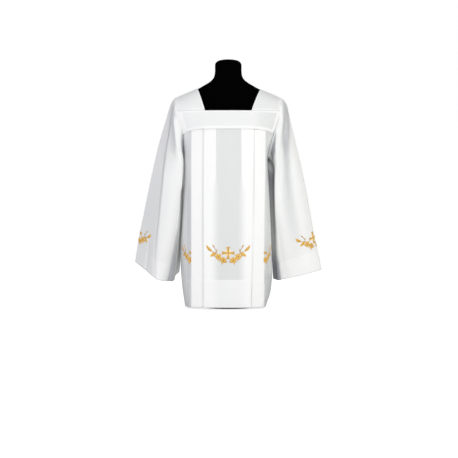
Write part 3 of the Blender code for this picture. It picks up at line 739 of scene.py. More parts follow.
def pleat_half(side, z):
    """One half of the pleated width for each height in z, from the middle to the side seam.

    The cloth runs out along a layer, turns under, runs back, and turns out again, twice over.
    Layer 0 is the face and 4 the innermost, which goes on to the side seam at the sines of even
    steps.
    """
    radius = TURN_SHARE * pleat("pitch", z)
    box, edge = pleat("box_" + side, z), body(side, z)
    folds = (pleat("face_" + side, z), TOP_BOX_UNDERFOLD, box, LOWER_BOX_UNDERFOLD)
    pieces, start = [], np.zeros_like(z)
    for layer, fold in enumerate(folds):
        way = 1.0 if layer % 2 == 0 else -1.0
        fold = fold + np.zeros_like(z)
        end = fold - way * radius
        pieces += [leg(start, end, layer, LAYER_POINTS[layer]), turn(fold, radius, layer, way)]
        start = end
    pieces.append(leg(start, box, LAYERS_BEHIND_FACE, LAYER_POINTS[LAYERS_BEHIND_FACE]))
    t = np.sin(np.linspace(0.0, 0.5, SIDE_POINTS) * math.pi)[None, :]
    across = box[:, None] + (edge - box)[:, None] * t
    pieces.append((across, np.full_like(across, float(LAYERS_BEHIND_FACE))))
    return [np.concatenate([piece[part] for piece in pieces], axis=1) for part in (0, 1)]


def panel_point(x, z, layer, face):
    """A point of the pleated panel on a given layer, which may lie between two layers in a turn."""
    depth = body_depth(x, z, face) + (LAYERS_BEHIND_FACE - layer) * pleat("pitch", z)
    return stack(x, WAY[face] * (depth + skirt_ripple(x, z, face)), z)


def panel_grid(face):
    """The pleated front or back from the hem to the seam under the band, and each point's layer.

    The rows are level up to the underarm. Above it they bend to follow the seam.
    """
    seam_end = band_seam_z(body("left", BAND_SEAM_Z))
    top = seam_end - SEAM_GAP / 2
    level = HEM_Z + (top - HEM_Z) * np.linspace(0.0, 1.0, PANEL_ROWS)
    line = np.argmin(np.abs(level - HEM_TOP_Z))
    level[line - 1 : line + 1] = HEM_TOP_Z - HEM_EDGE, HEM_TOP_Z
    rise = np.clip((level - UNDERARM_Z) / (top - UNDERARM_Z), 0.0, 1.0)
    step = WAY[face] * HEM_STEP * fade(level, HEM_TOP_Z, HEM_TOP_Z - HEM_EDGE)[:, None]
    halves = []
    for side in ("left", "right"):
        across, layer = pleat_half(side, level)
        x = WAY[side] * across
        points = panel_point(x, level[:, None] + rise[:, None] * (band_seam_z(x) - seam_end), layer, face)
        points[..., 1] += step * np.clip(np.abs(points[..., 1]) / HEM_STEP_FADE, 0.0, 1.0)
        points[:, -1, 1] = WAY[face] * np.maximum(armhole_depth(level), SEAM_GAP / 2)
        points[:, -1, 0] -= np.where(rise > 0.0, WAY[side] * SEAM_GAP / 2, 0.0)
        halves.append((points, layer))
    return [np.concatenate([left[:, ::-1], right[:, 1:]], axis=1) for left, right in zip(*halves)]


# ---------------------------------------------------------------- bands, straps, sleeves


def band_grid(face):
    """The yoke band from its seam with the pleats up to the neckline.

    Points lie at the sines of even angles across, and at even shares of the height.
    """
    rows, columns = BAND_SHAPE
    rise = np.linspace(0.0, 1.0, rows)[:, None]
    across = np.sin(np.linspace(-BAND_TURN, BAND_TURN, columns)[None, :]) / math.sin(BAND_TURN)
    foot = band_seam_z(on_side(body, "", across, BAND_SEAM_Z))
    x = across * on_side(body, "", across, foot + rise * (NECKLINE_Z - foot))
    foot = band_seam_z(x) + SEAM_GAP / 2
    z = foot + rise * (NECKLINE_Z - SEAM_GAP / 2 - foot)
    inner, outer = (on_side(pleat, name, x, BAND_SEAM_Z) for name in ("face_", "box_"))
    stacked = 1.0 - fade(np.abs(x), inner - STACK_FADE, outer + STACK_FADE)
    pleats = LAYERS_BEHIND_FACE * pleat("pitch", BAND_SEAM_Z) * stacked
    depth = body_depth(x, z, face) + pleats * (1.0 - fade(rise, 0.0, 1.0))
    depth[:, [0, -1]] = armhole_depth(z[:, [0, -1]])
    x[:, 0] += SEAM_GAP / 2
    x[:, -1] -= SEAM_GAP / 2
    return stack(x, WAY[face] * depth, z)


def strap_grid(side):
    """The shoulder piece: half ellipses from the front band over the shoulder to the back band."""
    rows, columns = STRAP_SHAPE
    angle = np.linspace(0.0, math.pi, rows)[:, None]
    across = np.linspace(0.0, 1.0, columns)[None, :]
    rise = np.sin(angle)
    neck = NECKLINE_HALF_WIDTH + (SHOULDER_NECK_X[side] - NECKLINE_HALF_WIDTH) * rise
    x = neck + (shoulder_x(side, rise) - SEAM_GAP / 2 - neck) * across
    foot_x = NECKLINE_HALF_WIDTH + (body(side, NECKLINE_Z) - NECKLINE_HALF_WIDTH) * across
    front, back = (body_depth(WAY[side] * foot_x, NECKLINE_Z, face) for face in ("front", "back"))
    y = -np.cos(angle) * np.where(angle < math.pi / 2, front, back)
    ridge = shoulder_z(neck + (SHOULDER_TIP_X - neck) * across)
    foot = NECKLINE_Z + SEAM_GAP / 2
    return stack(WAY[side] * x, y, foot + (ridge - foot) * rise)


def armhole_ring(side, angle):
    """The armhole's seam as (x, y, z) at angles from the shoulder tip (0) towards the front.

    A half ellipse above the neckline's height and another below it.
    """
    lift = np.cos(angle)
    z = NECKLINE_Z + lift * np.where(lift > 0.0, SHOULDER_TIP_Z - NECKLINE_Z, NECKLINE_Z - UNDERARM_Z)
    x = np.where(lift > 0.0, shoulder_x(side, np.clip(lift, 0.0, 1.0)), body(side, z))
    x = x + ARMHOLE_GAP_TOP + (ARMHOLE_GAP_BOTTOM - ARMHOLE_GAP_TOP) * fade(lift, 1.0, -1.0)
    return stack(x, -ARMHOLE_HALF_DEPTH * np.sin(angle), z)


def bump(angle, middle, span):
    """A squared cosine round the ring: 1 at a middle in degrees, 0 from a span away from it on."""
    away = half_turns(angle - math.radians(middle))
    return np.cos(np.clip(away / math.radians(span), -1.0, 1.0) * math.pi / 2) ** 2


def sleeve_ring(side, along, angle):
    """A sleeve without its folds, and the middle of each ring.

    Each ring is a flattened ellipse between its outer and inner edges, squarer at the front fold
    beside the body. The first takes the shape of the armhole, and that shape fades out along the
    top third, sooner at the front fold. The inner edge leans towards the body in front and behind.
    """
    rows = np.array(LEFT_SLEEVE_ROWS if side == "left" else RIGHT_SLEEVE_ROWS)
    table = np.column_stack([np.linspace(0.0, 1.0, len(rows)), rows])
    names = ("along", *SLEEVE_COLUMNS)
    inner_front = (np.cos(angle) < 0.0) & (np.sin(angle) > 0.0)
    upper = fade(along, 0.0, FRONT_FOLD_FULL) * fade(along, *FRONT_FOLD_END)
    square = SLEEVE_SQUARE + FRONT_FOLD_SQUARE * np.where(inner_front, upper, 0.0)
    across, forward = power(np.cos(angle), 2 / square), power(np.sin(angle), 2 / square)

    def ring(at):
        size = {name: column(names, table, name, at) for name in SLEEVE_COLUMNS}
        depth = np.where(forward > 0.0, size["front"], size["back"])
        middle_x = (size["outer_x"] + size["inner_x"]) / 2
        middle_z = (size["outer_z"] + size["inner_z"]) / 2
        x = middle_x + across * (size["outer_x"] - size["inner_x"]) / 2
        y = size["inner_y"] * (1.0 - across) / 2 - forward * depth
        z = middle_z + across * (size["outer_z"] - size["inner_z"]) / 2 - size["dip"] * forward
        return stack(x, y, z), stack(middle_x, size["inner_y"] / 2, middle_z)

    points, middle = ring(along)
    first, _ = ring(np.zeros_like(along))
    sooner = bump(angle, FRONT_FOLD_ANGLE, FRONT_FOLD_SPAN)
    reach = ARMHOLE_SHAPE_REACH + (FRONT_FOLD_REACH - ARMHOLE_SHAPE_REACH) * sooner
    points = points + (1.0 - fade(along, 0.0, reach))[..., None] * (armhole_ring(side, angle) - first)
    for face, lean_angle, span in (
        ("_front", FRONT_LEAN_ANGLE, FRONT_LEAN_SPAN),
        ("_back", BACK_LEAN_ANGLE[side], BACK_LEAN_SPAN),
    ):
        points[..., 0] -= column(LEAN_COLUMNS, LEAN_ROWS, side + face, along) * bump(angle, lean_angle, span)
    return points, middle


def ring_outward(side, along, angle):
    """A sleeve's points without folds, and unit vectors out of each ring, level with its plane."""
    points, middle = sleeve_ring(side, along, angle)
    after, before = (sleeve_ring(side, along, angle + step)[0] for step in (RING_STEP, -RING_STEP))
    following = after - before
    return points, unit(np.cross(following, np.cross(points - middle, following)))


def flatten_front(side, along, angle, points, outward):
    """The front between outer edge and crease pulled flat, with a steep rise behind the crease.

    A flat point lies on the straight line from the outer edge to the crease, as far along it as
    its angle is of the crease's angle. Behind the crease the depth fades out.
    """
    rows = LEFT_FLAT_ROWS if side == "left" else RIGHT_FLAT_ROWS
    crease, depth, flat = (column(FLAT_COLUMNS, rows, name, along) for name in FLAT_COLUMNS[1:])
    crease = np.radians(crease)
    edge, _ = ring_outward(side, along, np.zeros_like(crease))
    fold, fold_outward = ring_outward(side, along, crease)
    fold = fold - fold_outward * depth[..., None]
    turned = angle % (2 * math.pi)
    straight = edge + (fold - edge) * (turned / crease)[..., None]
    behind = depth * (1.0 - fade(turned, crease, crease + math.radians(CREASE_WIDTH)))
    pulled = np.where((turned < crease)[..., None], straight, points - outward * behind[..., None])
    return points + flat[..., None] * (pulled - points)


def sleeve_relief(side, along, angle):
    """Height of the folds and gathers: soft troughs along slanting lines, waves at the head."""
    height = np.zeros(np.broadcast(along, angle).shape)
    for start, end, angle_start, angle_end, width, depth in LEFT_FOLDS if side == "left" else RIGHT_FOLDS:
        share = np.clip((along - start) / (end - start), 0.0, 1.0)
        away = half_turns(angle - np.radians(angle_start + (angle_end - angle_start) * share))
        ends = fade(along, start, start + FOLD_RISE) * fade(along, end, end - FOLD_FALL)
        height -= depth * ends * np.exp(-((away / math.radians(width)) ** 2))
    away, span = half_turns(angle), math.radians(GATHER_SPAN)
    for count, top, reach in (
        (GATHERS, GATHER_HEIGHT, GATHER_REACH),
        (PUCKERS, PUCKER_HEIGHT, PUCKER_REACH),
    ):
        waves = np.where(np.abs(away) < span, 0.5 - 0.5 * np.cos(away / span * count * math.pi), 0.0)
        height = height + top * np.sin(np.clip(along / reach, 0.0, 1.0) * math.pi) * waves
    return height


def sleeve_point(side, along, angle):
    """Points of a sleeve at shares of its length and angles round it, with all its folds."""
    along, angle = np.broadcast_arrays(along, angle)
    points, outward = ring_outward(side, along, angle)
    points = flatten_front(side, along, angle, points, outward)
    points = points + outward * sleeve_relief(side, along, angle)[..., None]
    return points * np.array([WAY[side], 1.0, 1.0])


# ---------------------------------------------------------------- meshes


def grid_faces(rows, columns, closed=False, flip=False):
    """Quads between neighbouring points of a grid, wound the same way throughout."""
    last = columns if closed else columns - 1
    row, col = np.meshgrid(np.arange(rows - 1), np.arange(last), indexing="ij")
    here = (row * columns + col).ravel()
    beside = (row * columns + (col + 1) % columns).ravel()
    quads = np.stack([here, beside, beside + columns, here + columns], axis=1)
    return quads[:, ::-1] if flip else quads


def closed_ends(rings):
    """Points and triangles of a stack of rings, with a fan round a middle point at each end."""
    count, around, _ = rings.shape
    middles = rings[[0, -1]].mean(axis=1)
    quads = grid_faces(count, around, closed=True)
    here = np.arange(around)
    following = (here + 1) % around
    last = (count - 1) * around
    low = np.full(around, count * around)
    faces = np.concatenate([
        quads[:, [0, 1, 2]],
        quads[:, [0, 2, 3]],
        np.stack([following, here, low], axis=1),
        np.stack([last + here, last + following, low + 1], axis=1),
    ])
    return np.concatenate([rings.reshape(-1, 3), middles]), faces


def add_mesh(name, points, faces, finish, uv=None, masks=None):
    """A mesh object at the origin from arrays of points and of faces that have equal corners."""
    mesh = bpy.data.meshes.new(name)
    corners = faces.shape[1]
    mesh.vertices.add(len(points))
    mesh.vertices.foreach_set("co", np.ascontiguousarray(points, np.float32).ravel())
    mesh.loops.add(faces.size)
    mesh.loops.foreach_set("vertex_index", np.ascontiguousarray(faces, np.int32).ravel())
    mesh.polygons.add(len(faces))
    mesh.polygons.foreach_set("loop_start", np.arange(len(faces), dtype=np.int32) * corners)
    mesh.update(calc_edges=True)
    if uv is not None:
        layer = mesh.uv_layers.new(name="cloth")
        layer.data.foreach_set("uv", np.ascontiguousarray(uv[faces.ravel()], np.float32).ravel())
    for mask, values in (masks or {}).items():
        attribute = mesh.attributes.new(mask, "FLOAT", "POINT")
        attribute.data.foreach_set("value", np.ascontiguousarray(values, np.float32).ravel())
    mesh.shade_smooth()
    mesh.materials.append(finish)
    made = bpy.data.objects.new(name, mesh)
    bpy.context.scene.collection.objects.link(made)
    return made


def add_wall(made, thickness, offset):
    """Gives a surface its thickness."""
    wall = made.modifiers.new("wall", "SOLIDIFY")
    wall.thickness = thickness
    wall.offset = offset
    return wall


def cloth_uv(grid):
    """Distances along the threads: across each row from its middle, and up each column."""
    across = np.linalg.norm(np.diff(grid, axis=1), axis=2)
    u = np.concatenate([np.zeros((len(grid), 1)), np.cumsum(across, axis=1)], axis=1)
    u -= u[:, [grid.shape[1] // 2]]
    up = np.linalg.norm(np.diff(grid, axis=0), axis=2).mean(axis=1)
    return stack(u, np.concatenate([[0.0], np.cumsum(up)])[:, None]).reshape(-1, 2)


def cloth_piece(name, solid, grid, layers, finish, closed=False, flip=False):
    """A thin shell through the middle of a solid's wall, which stands for that solid.

    On a closed ring the first column comes once more at the end, with its own distance along the
    threads, and the two columns are then merged.
    """
    if closed:
        grid, layers = (np.concatenate([part, part[:, :1]], axis=1) for part in (grid, layers))
    faces = grid_faces(*grid.shape[:2], flip=flip)
    made = add_mesh(name, grid.reshape(-1, 3), faces, finish, cloth_uv(grid), {"layers": layers})
    if closed:
        shape = bmesh.new()
        shape.from_mesh(made.data)
        bmesh.ops.remove_doubles(shape, verts=shape.verts, dist=SEAM_MERGE)
        shape.to_mesh(made.data)
        shape.free()
    add_wall(made, CLOTH, 0.0).use_even_offset = True
    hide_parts(solid)
    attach(made, "root")
    return made


# ---------------------------------------------------------------- embroidery


def patch_grid(rows, columns):
    """Shares along a patch from 0 to 1, and across it from -1 to 1."""
    return np.linspace(0.0, 1.0, rows)[:, None], np.linspace(-1.0, 1.0, columns)[None, :]


def padded(across):
    """Height of a padded satin stitch: a half ellipse across that ends just over the cloth."""
    return np.sqrt(1.0 - PADDING * across**2)


def vein_line(across, reach):
    """A soft line along the middle: 1 on it, falling off as a bell curve."""
    return np.exp(-((across / reach) ** 2))


def leaf_patch(foot, tip, width, bend, tone, vein=LEAF_VEIN, steps=LEAF_STEPS):
    """A satin-stitched leaf, in millimetres, as columns x, z, height, tone, thread, along thread.

    Its middle line is a parabola from foot to tip. The half width is a sine over the length drawn
    towards the foot, and the height a half ellipse across. Threads slant from the vein outwards.
    """
    along, across = patch_grid(*steps)
    foot, tip = np.array(foot), np.array(tip)
    length = np.linalg.norm(tip - foot)
    ahead = (tip - foot) / length
    beside = np.array([-ahead[1], ahead[0]])
    half = width * (0.5 * np.sin(math.pi * along**LEAF_SKEW) ** LEAF_FULLNESS + LEAF_BLUNT)
    sideways = bend * 4.0 * along * (1.0 - along) + across * half
    x = foot[0] + ahead[0] * along * length + beside[0] * sideways
    z = foot[1] + ahead[1] * along * length + beside[1] * sideways
    height = padded(across) * np.minimum(1.0, half / (LEAF_SHOULDER * width))
    shade = tone + LEAF_TIP_TONE * along + LEAF_SIDE_TONE * across - vein * vein_line(across, LEAF_VEIN_REACH)
    thread = along * length - THREAD_SLANT * np.abs(across) * half
    return stack(x, z, height, shade, thread, across * half)


def stem_patch(start, bend, end, width, tone):
    """A thin satin-stitched stem along a quadratic curve, with rounded ends."""
    along, across = patch_grid(*STEM_STEPS)
    start, bend, end = np.array(start), np.array(bend), np.array(end)
    line = start * (1 - along) ** 2 + 2 * bend * along * (1 - along) + end * along**2
    ahead = unit((bend - start) * (1 - along) + (end - bend) * along)
    half = 0.5 * width * np.clip(np.sin(math.pi * along) / STEM_TAPER, STEM_END, 1.0)
    x = line[:, :1] - ahead[:, 1:] * across * half
    z = line[:, 1:] + ahead[:, :1] * across * half
    thread = along * np.linalg.norm(end - start) + 0.5 * across
    return stack(x, z, STEM_HEIGHT * padded(across), tone, thread, across * half)


def arm_patch(way, tone):
    """One arm of the cross: it widens with a power of its length, and its end is notched."""
    along, across = patch_grid(*ARM_STEPS)
    half = 0.5 * (ARM_NECK + (ARM_END - ARM_NECK) * along**ARM_FLARE)
    notch = ARM_NOTCH * (1.0 - np.abs(across)) * fade(along, ARM_NOTCH_FROM, 1.0)
    reach, sideways = along * (ARM_LENGTH - notch), across * half
    x = reach * math.cos(way) - sideways * math.sin(way)
    z = reach * math.sin(way) + sideways * math.cos(way)
    height = ARM_HEIGHT * padded(across) * np.sqrt(np.clip((1.0 - along) / ARM_TAPER, ARM_TIP, 1.0))
    shade = tone + ARM_SIDE_TONE * across**2 - ARM_VEIN * vein_line(across, ARM_VEIN_REACH)
    return stack(x, z, height, shade, reach - ARM_SLANT * np.abs(sideways), sideways)


def berry_patch(x, z, radius, tone):
    """A round satin-stitched dot: a grid of rings with the height of a half ellipse."""
    rings, around = DOT_STEPS
    reach = np.linspace(DOT_CORE, 1.0, rings)[:, None] * radius
    way = np.linspace(0.0, 2 * math.pi, around)[None, :]
    across, up = reach * np.cos(way), reach * np.sin(way)
    return stack(x + across, z + up, padded(reach / radius), tone + DOT_TOP_TONE * up / radius, across, up)


def motif_patches():
    """A cross with rays between its arms over a garland of blossoms, berries and leaves."""
    ray_from, ray_to, ray_width, ray_tone = RAY

    def away(distance, way, x=0.0, z=0.0):
        return x + distance * math.cos(way), z + distance * math.sin(way)

    patches = [
        leaf_patch(away(ray_from, way), away(ray_to, way), ray_width, 0.0, ray_tone, 0.0)
        for way in circle(4) + math.pi / 4
    ]
    patches += [arm_patch(way, ARM_TONE) for way in circle(4)]
    patches.append(berry_patch(*MIDDLE_DOT))
    garland = [stem_patch(stem[0:2], stem[2:4], stem[4:6], *stem[6:]) for stem in STEMS]
    garland += [leaf_patch(leaf[0:2], leaf[2:4], *leaf[4:]) for leaf in LEAVES]
    for x, z, radius, count, turned, tone in BLOSSOMS:
        for way in math.radians(turned) + circle(count):
            foot, tip = away(PETAL_FOOT * radius, way, x, z), away(radius, way, x, z)
            garland.append(leaf_patch(tip, foot, PETAL_WIDTH * radius, 0.0, tone, PETAL_VEIN, PETAL_STEPS))
        garland.append(berry_patch(x, z, HEART * radius, HEART_TONE))
    garland += [berry_patch(*berry) for berry in BERRIES]
    mirrored = [patch[:, ::-1] * np.array([-1.0, 1.0, 1.0, 1.0, 1.0, 1.0]) for patch in garland]
    return patches + garland + mirrored


def embroider(name, place, finish):
    """The motif laid on a piece of cloth.

    place turns distances across and up from the motif's middle, and a height over the cloth, into
    points. The patches get a wall, whose underside lies in the cloth.
    """
    patches = motif_patches()
    counts = np.cumsum([0] + [patch.shape[0] * patch.shape[1] for patch in patches])
    faces = [grid_faces(*patch.shape[:2]) + count for patch, count in zip(patches, counts)]
    flat = np.concatenate([patch.reshape(-1, 6) for patch in patches])
    across, up, height = flat[:, :3].T * MILLIMETRE
    made = add_mesh(
        name,
        place(across, up, height / MILLIMETRE * THREAD_RISE),
        wind_outwards(np.concatenate(faces), across, up),
        finish,
        flat[:, 4:] * MILLIMETRE,
        {"tone": flat[:, 3]},
    )
    add_wall(made, THREAD_WALL, -1.0)
    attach(made, "root")
    return made


def wind_outwards(faces, across, up):
    """The faces, each wound so that it faces away from the cloth: by the turn of its diagonals."""
    first, second, third, fourth = (np.stack([across[ends], up[ends]]) for ends in faces.T)
    one, other = third - first, fourth - second
    turned = one[0] * other[1] - one[1] * other[0] < 0.0
    return np.where(turned[:, None], faces[:, ::-1], faces)


def raised(surface, first, second, height):
    """Points a height off a surface of two parameters, along its normal from small steps."""
    along_first = surface(first + NORMAL_STEP, second) - surface(first - NORMAL_STEP, second)
    along_second = surface(first, second + NORMAL_STEP) - surface(first, second - NORMAL_STEP)
    normal = unit(np.cross(along_first, along_second))
    return surface(first, second) + normal * height[..., None]


def on_panel(face, middle_x, layer):
    """How a motif lies on a pleated panel: across is measured along the cloth, up is height."""
    forward = -WAY[face]
    turned = np.linspace(*PANEL_LINE) * math.pi
    places = on_side(body, "", turned, MOTIF_Z) * np.sin(turned)
    length = lengths(panel_point(places, MOTIF_Z + np.zeros_like(places), layer, face))
    start = np.interp(middle_x, places, length)

    def place(across, up, height):
        x = np.interp(start + forward * across, length, places)
        surface = partial(panel_point, layer=layer, face=face)
        return raised(surface, x, MOTIF_Z + up, forward * (CLOTH / 2 + height))

    return place


def on_sleeve(side):
    """How a motif lies round a sleeve's outer edge: across is along the ring, up along the edge."""
    motif_along, forward = SLEEVE_MOTIF[side]
    turned = np.linspace(*SLEEVE_LINE)
    length = lengths(sleeve_point(side, motif_along, turned))
    length -= np.interp(0.0, turned, length) + forward
    alongs = np.linspace(*SLEEVE_FALL)
    fall = lengths(sleeve_point(side, alongs, 0.0))
    fall -= np.interp(motif_along, alongs, fall)
    sense = -WAY[side]

    def place(across, up, height):
        angle = np.interp(sense * across, length, turned)
        along = np.interp(-up, fall, alongs)
        return raised(partial(sleeve_point, side), along, angle, sense * (CLOTH / 2 + height))

    return place


# ---------------------------------------------------------------- stitches and seams


def stitch_row(line, outward):
    """Stitches along a line of points: eight-sided needles of thread, half sunk in the cloth."""
    length = lengths(line)
    at = np.arange(STITCH_PITCH, length[-1] - STITCH_PITCH / 2, STITCH_PITCH)

    def read(values, at):
        return stack(*(np.interp(at, length, values[:, axis]) for axis in range(3)))

    middle, normal = read(line, at), unit(read(outward, at))
    ahead = unit(read(line, at + STITCH_AHEAD) - middle)
    ends = (ahead * STITCH_LENGTH, np.cross(ahead, normal) * STITCH_WIDTH, normal * STITCH_WIDTH)
    corners = (-ends[0], ends[0], ends[1], -ends[1], ends[2], -ends[2])
    points = np.stack([middle + corner / 2 for corner in corners], axis=1).reshape(-1, 3)
    needle = np.array([
        (0, 2, 4), (2, 1, 4), (1, 3, 4), (3, 0, 4), (2, 0, 5), (1, 2, 5), (3, 1, 5), (0, 3, 5),
    ])
    faces = (np.arange(len(at)) * 6)[:, None, None] + needle[None]
    return points, faces.reshape(-1, 3)[:, ::-1]


def stitches(name, rows, finish):
    """One piece of all the rows of stitches on a piece of cloth."""
    parts = [stitch_row(line, outward) for line, outward in rows]
    counts = np.cumsum([0] + [len(points) for points, _ in parts])
    points = np.concatenate([points for points, _ in parts])
    faces = np.concatenate([faces + count for (_, faces), count in zip(parts, counts)])
    made = add_mesh(name, points, faces, finish, points[:, [0, 2]], {"layers": np.ones(len(points))})
    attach(made, "root")
    return made


def lifted_row(grid, row, outward_sign, closed=False):
    """One row of a cloth grid lifted to the cloth's outer face, with its normals."""
    normal = surface_normals(grid, closed)[row] * outward_sign
    line = grid[row] + normal * CLOTH / 2
    if closed:
        line, normal = np.concatenate([line, line[:1]]), np.concatenate([normal, normal[:1]])
    return line, normal


def armhole_welt(side, finish):
    """The ridge of the armhole seam: a slim tube along the armhole."""
    rings, around = WELT_POINTS
    line = armhole_ring(side, circle(rings)) * np.array([WAY[side], 1.0, 1.0])
    ahead = unit(np.roll(line, -1, axis=0) - np.roll(line, 1, axis=0))
    first = unit(np.cross(ahead, np.cross(line - line.mean(axis=0), ahead)))
    second = np.cross(ahead, first)
    way = circle(around)[None, :, None]
    tube = line[:, None] + WELT_RADIUS * (first[:, None] * np.cos(way) + second[:, None] * np.sin(way))
    points = tube.reshape(-1, 3)
    faces = grid_faces(rings + 1, around, closed=True) % len(points)
    # Painted shade along the ridge, with painted light at the shoulder and the underarm
    lit = fade(points[:, 2], *WELT_LIT_Z) + WELT_UNDERARM * fade(points[:, 2], *WELT_UNDERARM_Z)
    layers = {"layers": WELT_PAINTED_LIGHT * lit + WELT_PAINTED_SHADE}
    made = add_mesh("armhole_welt_" + side, points, faces, finish, points[:, [1, 2]], layers)
    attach(made, "root")
    return made


# ---------------------------------------------------------------- materials


def node(tree, kind, inputs, **settings):
    """A shader node of a kind. Each input gets a value, or is linked to another node's output."""
    made = tree.nodes.new("ShaderNode" + kind)
    for name, value in settings.items():
        setattr(made, name, value)
    for name, value in inputs.items():
        if isinstance(value, bpy.types.NodeSocket):
            tree.links.new(value, made.inputs[name])
        else:
            made.inputs[name].default_value = value
    return made


def work_out(tree, operation, *values):
    """The result of a sum, a product or another operation on values or outputs."""
    return node(tree, "Math", dict(enumerate(values)), operation=operation).outputs[0]


def blend(tree, factor, colours, middle=None):
    """Colours blended evenly from the first at 0 to the last at 1, and one in between."""
    made = node(tree, "ValToRGB", {0: factor})
    stops = made.color_ramp.elements
    stops[0].color, stops[1].color = (*colours[0], 1.0), (*colours[-1], 1.0)
    if middle is not None:
        stops.new(middle).color = (*colours[1], 1.0)
    return made.outputs[0]


def noise(tree, place, detail=1.0, scale=1.0):
    """Even noise from 0 to 1 over a place."""
    return node(tree, "TexNoise", {"Vector": place, "Scale": scale, "Detail": detail}).outputs["Fac"]


def new_material(name, looks):
    """A material, its node tree and its shader, whose looks are values."""
    made = bpy.data.materials.new(name)
    made.use_nodes = True
    made.node_tree.nodes.clear()
    shader = node(made.node_tree, "BsdfPrincipled", looks)
    node(made.node_tree, "OutputMaterial", {0: shader.outputs[0]})
    return made, made.node_tree, shader


def cover(tree, shader, colour, height, strength, depth):
    """Gives a shader its colour and a fine relief."""
    relief = node(tree, "Bump", {"Strength": strength, "Distance": depth, "Height": height})
    tree.links.new(colour, shader.inputs["Base Color"])
    tree.links.new(relief.outputs[0], shader.inputs["Normal"])


def node_group(name, takes, gives):
    """A shader node group with named inputs and outputs: the group, what it is given, its result."""
    group = bpy.data.node_groups.new(name, "ShaderNodeTree")
    for way, sockets in (("INPUT", takes), ("OUTPUT", gives)):
        for label, kind in sockets.items():
            group.interface.new_socket(label, in_out=way, socket_type="NodeSocket" + kind)
    given, result = group.nodes.new("NodeGroupInput"), group.nodes.new("NodeGroupOutput")
    return group, given.outputs, result.inputs


def weave_group():
    """Plain weave: threads over and under each other, on a piece's own thread distances.

    Height is the product of two sine waves, one across and one up, plus a fine uneven thickness
    of the threads. Tone is a soft colour variation that runs along the threads.
    """
    group, given, result = node_group(
        "plain_weave", {"Vector": "Vector", "Threads": "Float"}, {"Height": "Float", "Tone": "Float"}
    )
    split = node(group, "SeparateXYZ", {0: given["Vector"]})
    turns = work_out(group, "MULTIPLY", given["Threads"], math.pi)
    waves = [
        work_out(group, "SINE", work_out(group, "MULTIPLY", split.outputs[axis], turns)) for axis in (0, 1)
    ]
    crossing = work_out(group, "MULTIPLY", *waves)
    slubs = []
    for stretch in ((SLUB_ACROSS, SLUB_ALONG, 1.0), (SLUB_ALONG, SLUB_ACROSS, 1.0)):
        mapping = node(group, "Mapping", {"Vector": given["Vector"], "Scale": stretch})
        slubs.append(noise(group, mapping.outputs[0]))
    uneven = work_out(group, "ADD", *slubs)
    group.links.new(work_out(group, "ADD", crossing, uneven), result["Height"])
    group.links.new(work_out(group, "SUBTRACT", uneven, 1.0), result["Tone"])
    return group


def grain_group():
    """A fine grain: noise makes a colour up to a fifth darker or lighter, rougher and uneven."""
    group, given, result = node_group(
        "fine_grain",
        {"Vector": "Vector", "Scale": "Float", "Colour": "Color", "Roughness": "Float"},
        {"Colour": "Color", "Roughness": "Float", "Height": "Float"},
    )
    grain = noise(group, given["Vector"], 4.0, given["Scale"])
    lighter = work_out(group, "ADD", work_out(group, "MULTIPLY", grain, 2 * GRAIN_COLOUR), 1 - GRAIN_COLOUR)
    shaded = node(group, "VectorMath", {0: given["Colour"], "Scale": lighter}, operation="SCALE")
    rougher = work_out(group, "ADD", work_out(group, "MULTIPLY", grain, GRAIN_ROUGHNESS), given["Roughness"])
    for name, output in (("Colour", shaded.outputs[0]), ("Roughness", rougher), ("Height", grain)):
        group.links.new(output, result[name])
    return group


def cloth_material(name, weave):
    """White cloth that looks whiter where cloth lies on cloth, greyer where it is single, and darker in
    painted shade down to the crease colour.
    """
    made, tree, shader = new_material(name, CLOTH_LOOKS)
    uv = node(tree, "UVMap", {}, uv_map="cloth").outputs[0]
    layers = node(tree, "Attribute", {}, attribute_name="layers").outputs["Fac"]
    woven = node(tree, "Group", {}, node_tree=weave)
    woven.inputs["Threads"].default_value = THREADS_A_METRE
    tree.links.new(uv, woven.inputs["Vector"])
    shift = work_out(tree, "MULTIPLY", woven.outputs["Tone"], SLUB_TONE)
    shown = work_out(tree, "MULTIPLY", work_out(tree, "ADD", layers, shift), 1.0 - SINGLE_STOP)
    shown = work_out(tree, "ADD", shown, SINGLE_STOP)
    colour = blend(tree, shown, CLOTH_COLOURS, SINGLE_STOP)
    cover(tree, shader, colour, woven.outputs["Height"], WEAVE_RELIEF, RELIEF_DEPTH)
    return made


def plain_material(name, grain):
    """A single colour with a fine grain in its colour, gloss and surface."""
    colour, roughness, scale, depth, looks = FINISHES[name]
    made, tree, shader = new_material(name, looks)
    place = node(tree, "TexCoord", {}).outputs["Object"]
    grained = node(tree, "Group", {}, node_tree=grain)
    tree.links.new(place, grained.inputs["Vector"])
    for label, value in (("Scale", scale), ("Colour", (*colour, 1.0)), ("Roughness", roughness)):
        grained.inputs[label].default_value = value
    tree.links.new(grained.outputs["Roughness"], shader.inputs["Roughness"])
    cover(tree, shader, grained.outputs["Colour"], grained.outputs["Height"], GRAIN_RELIEF, depth)
    return made


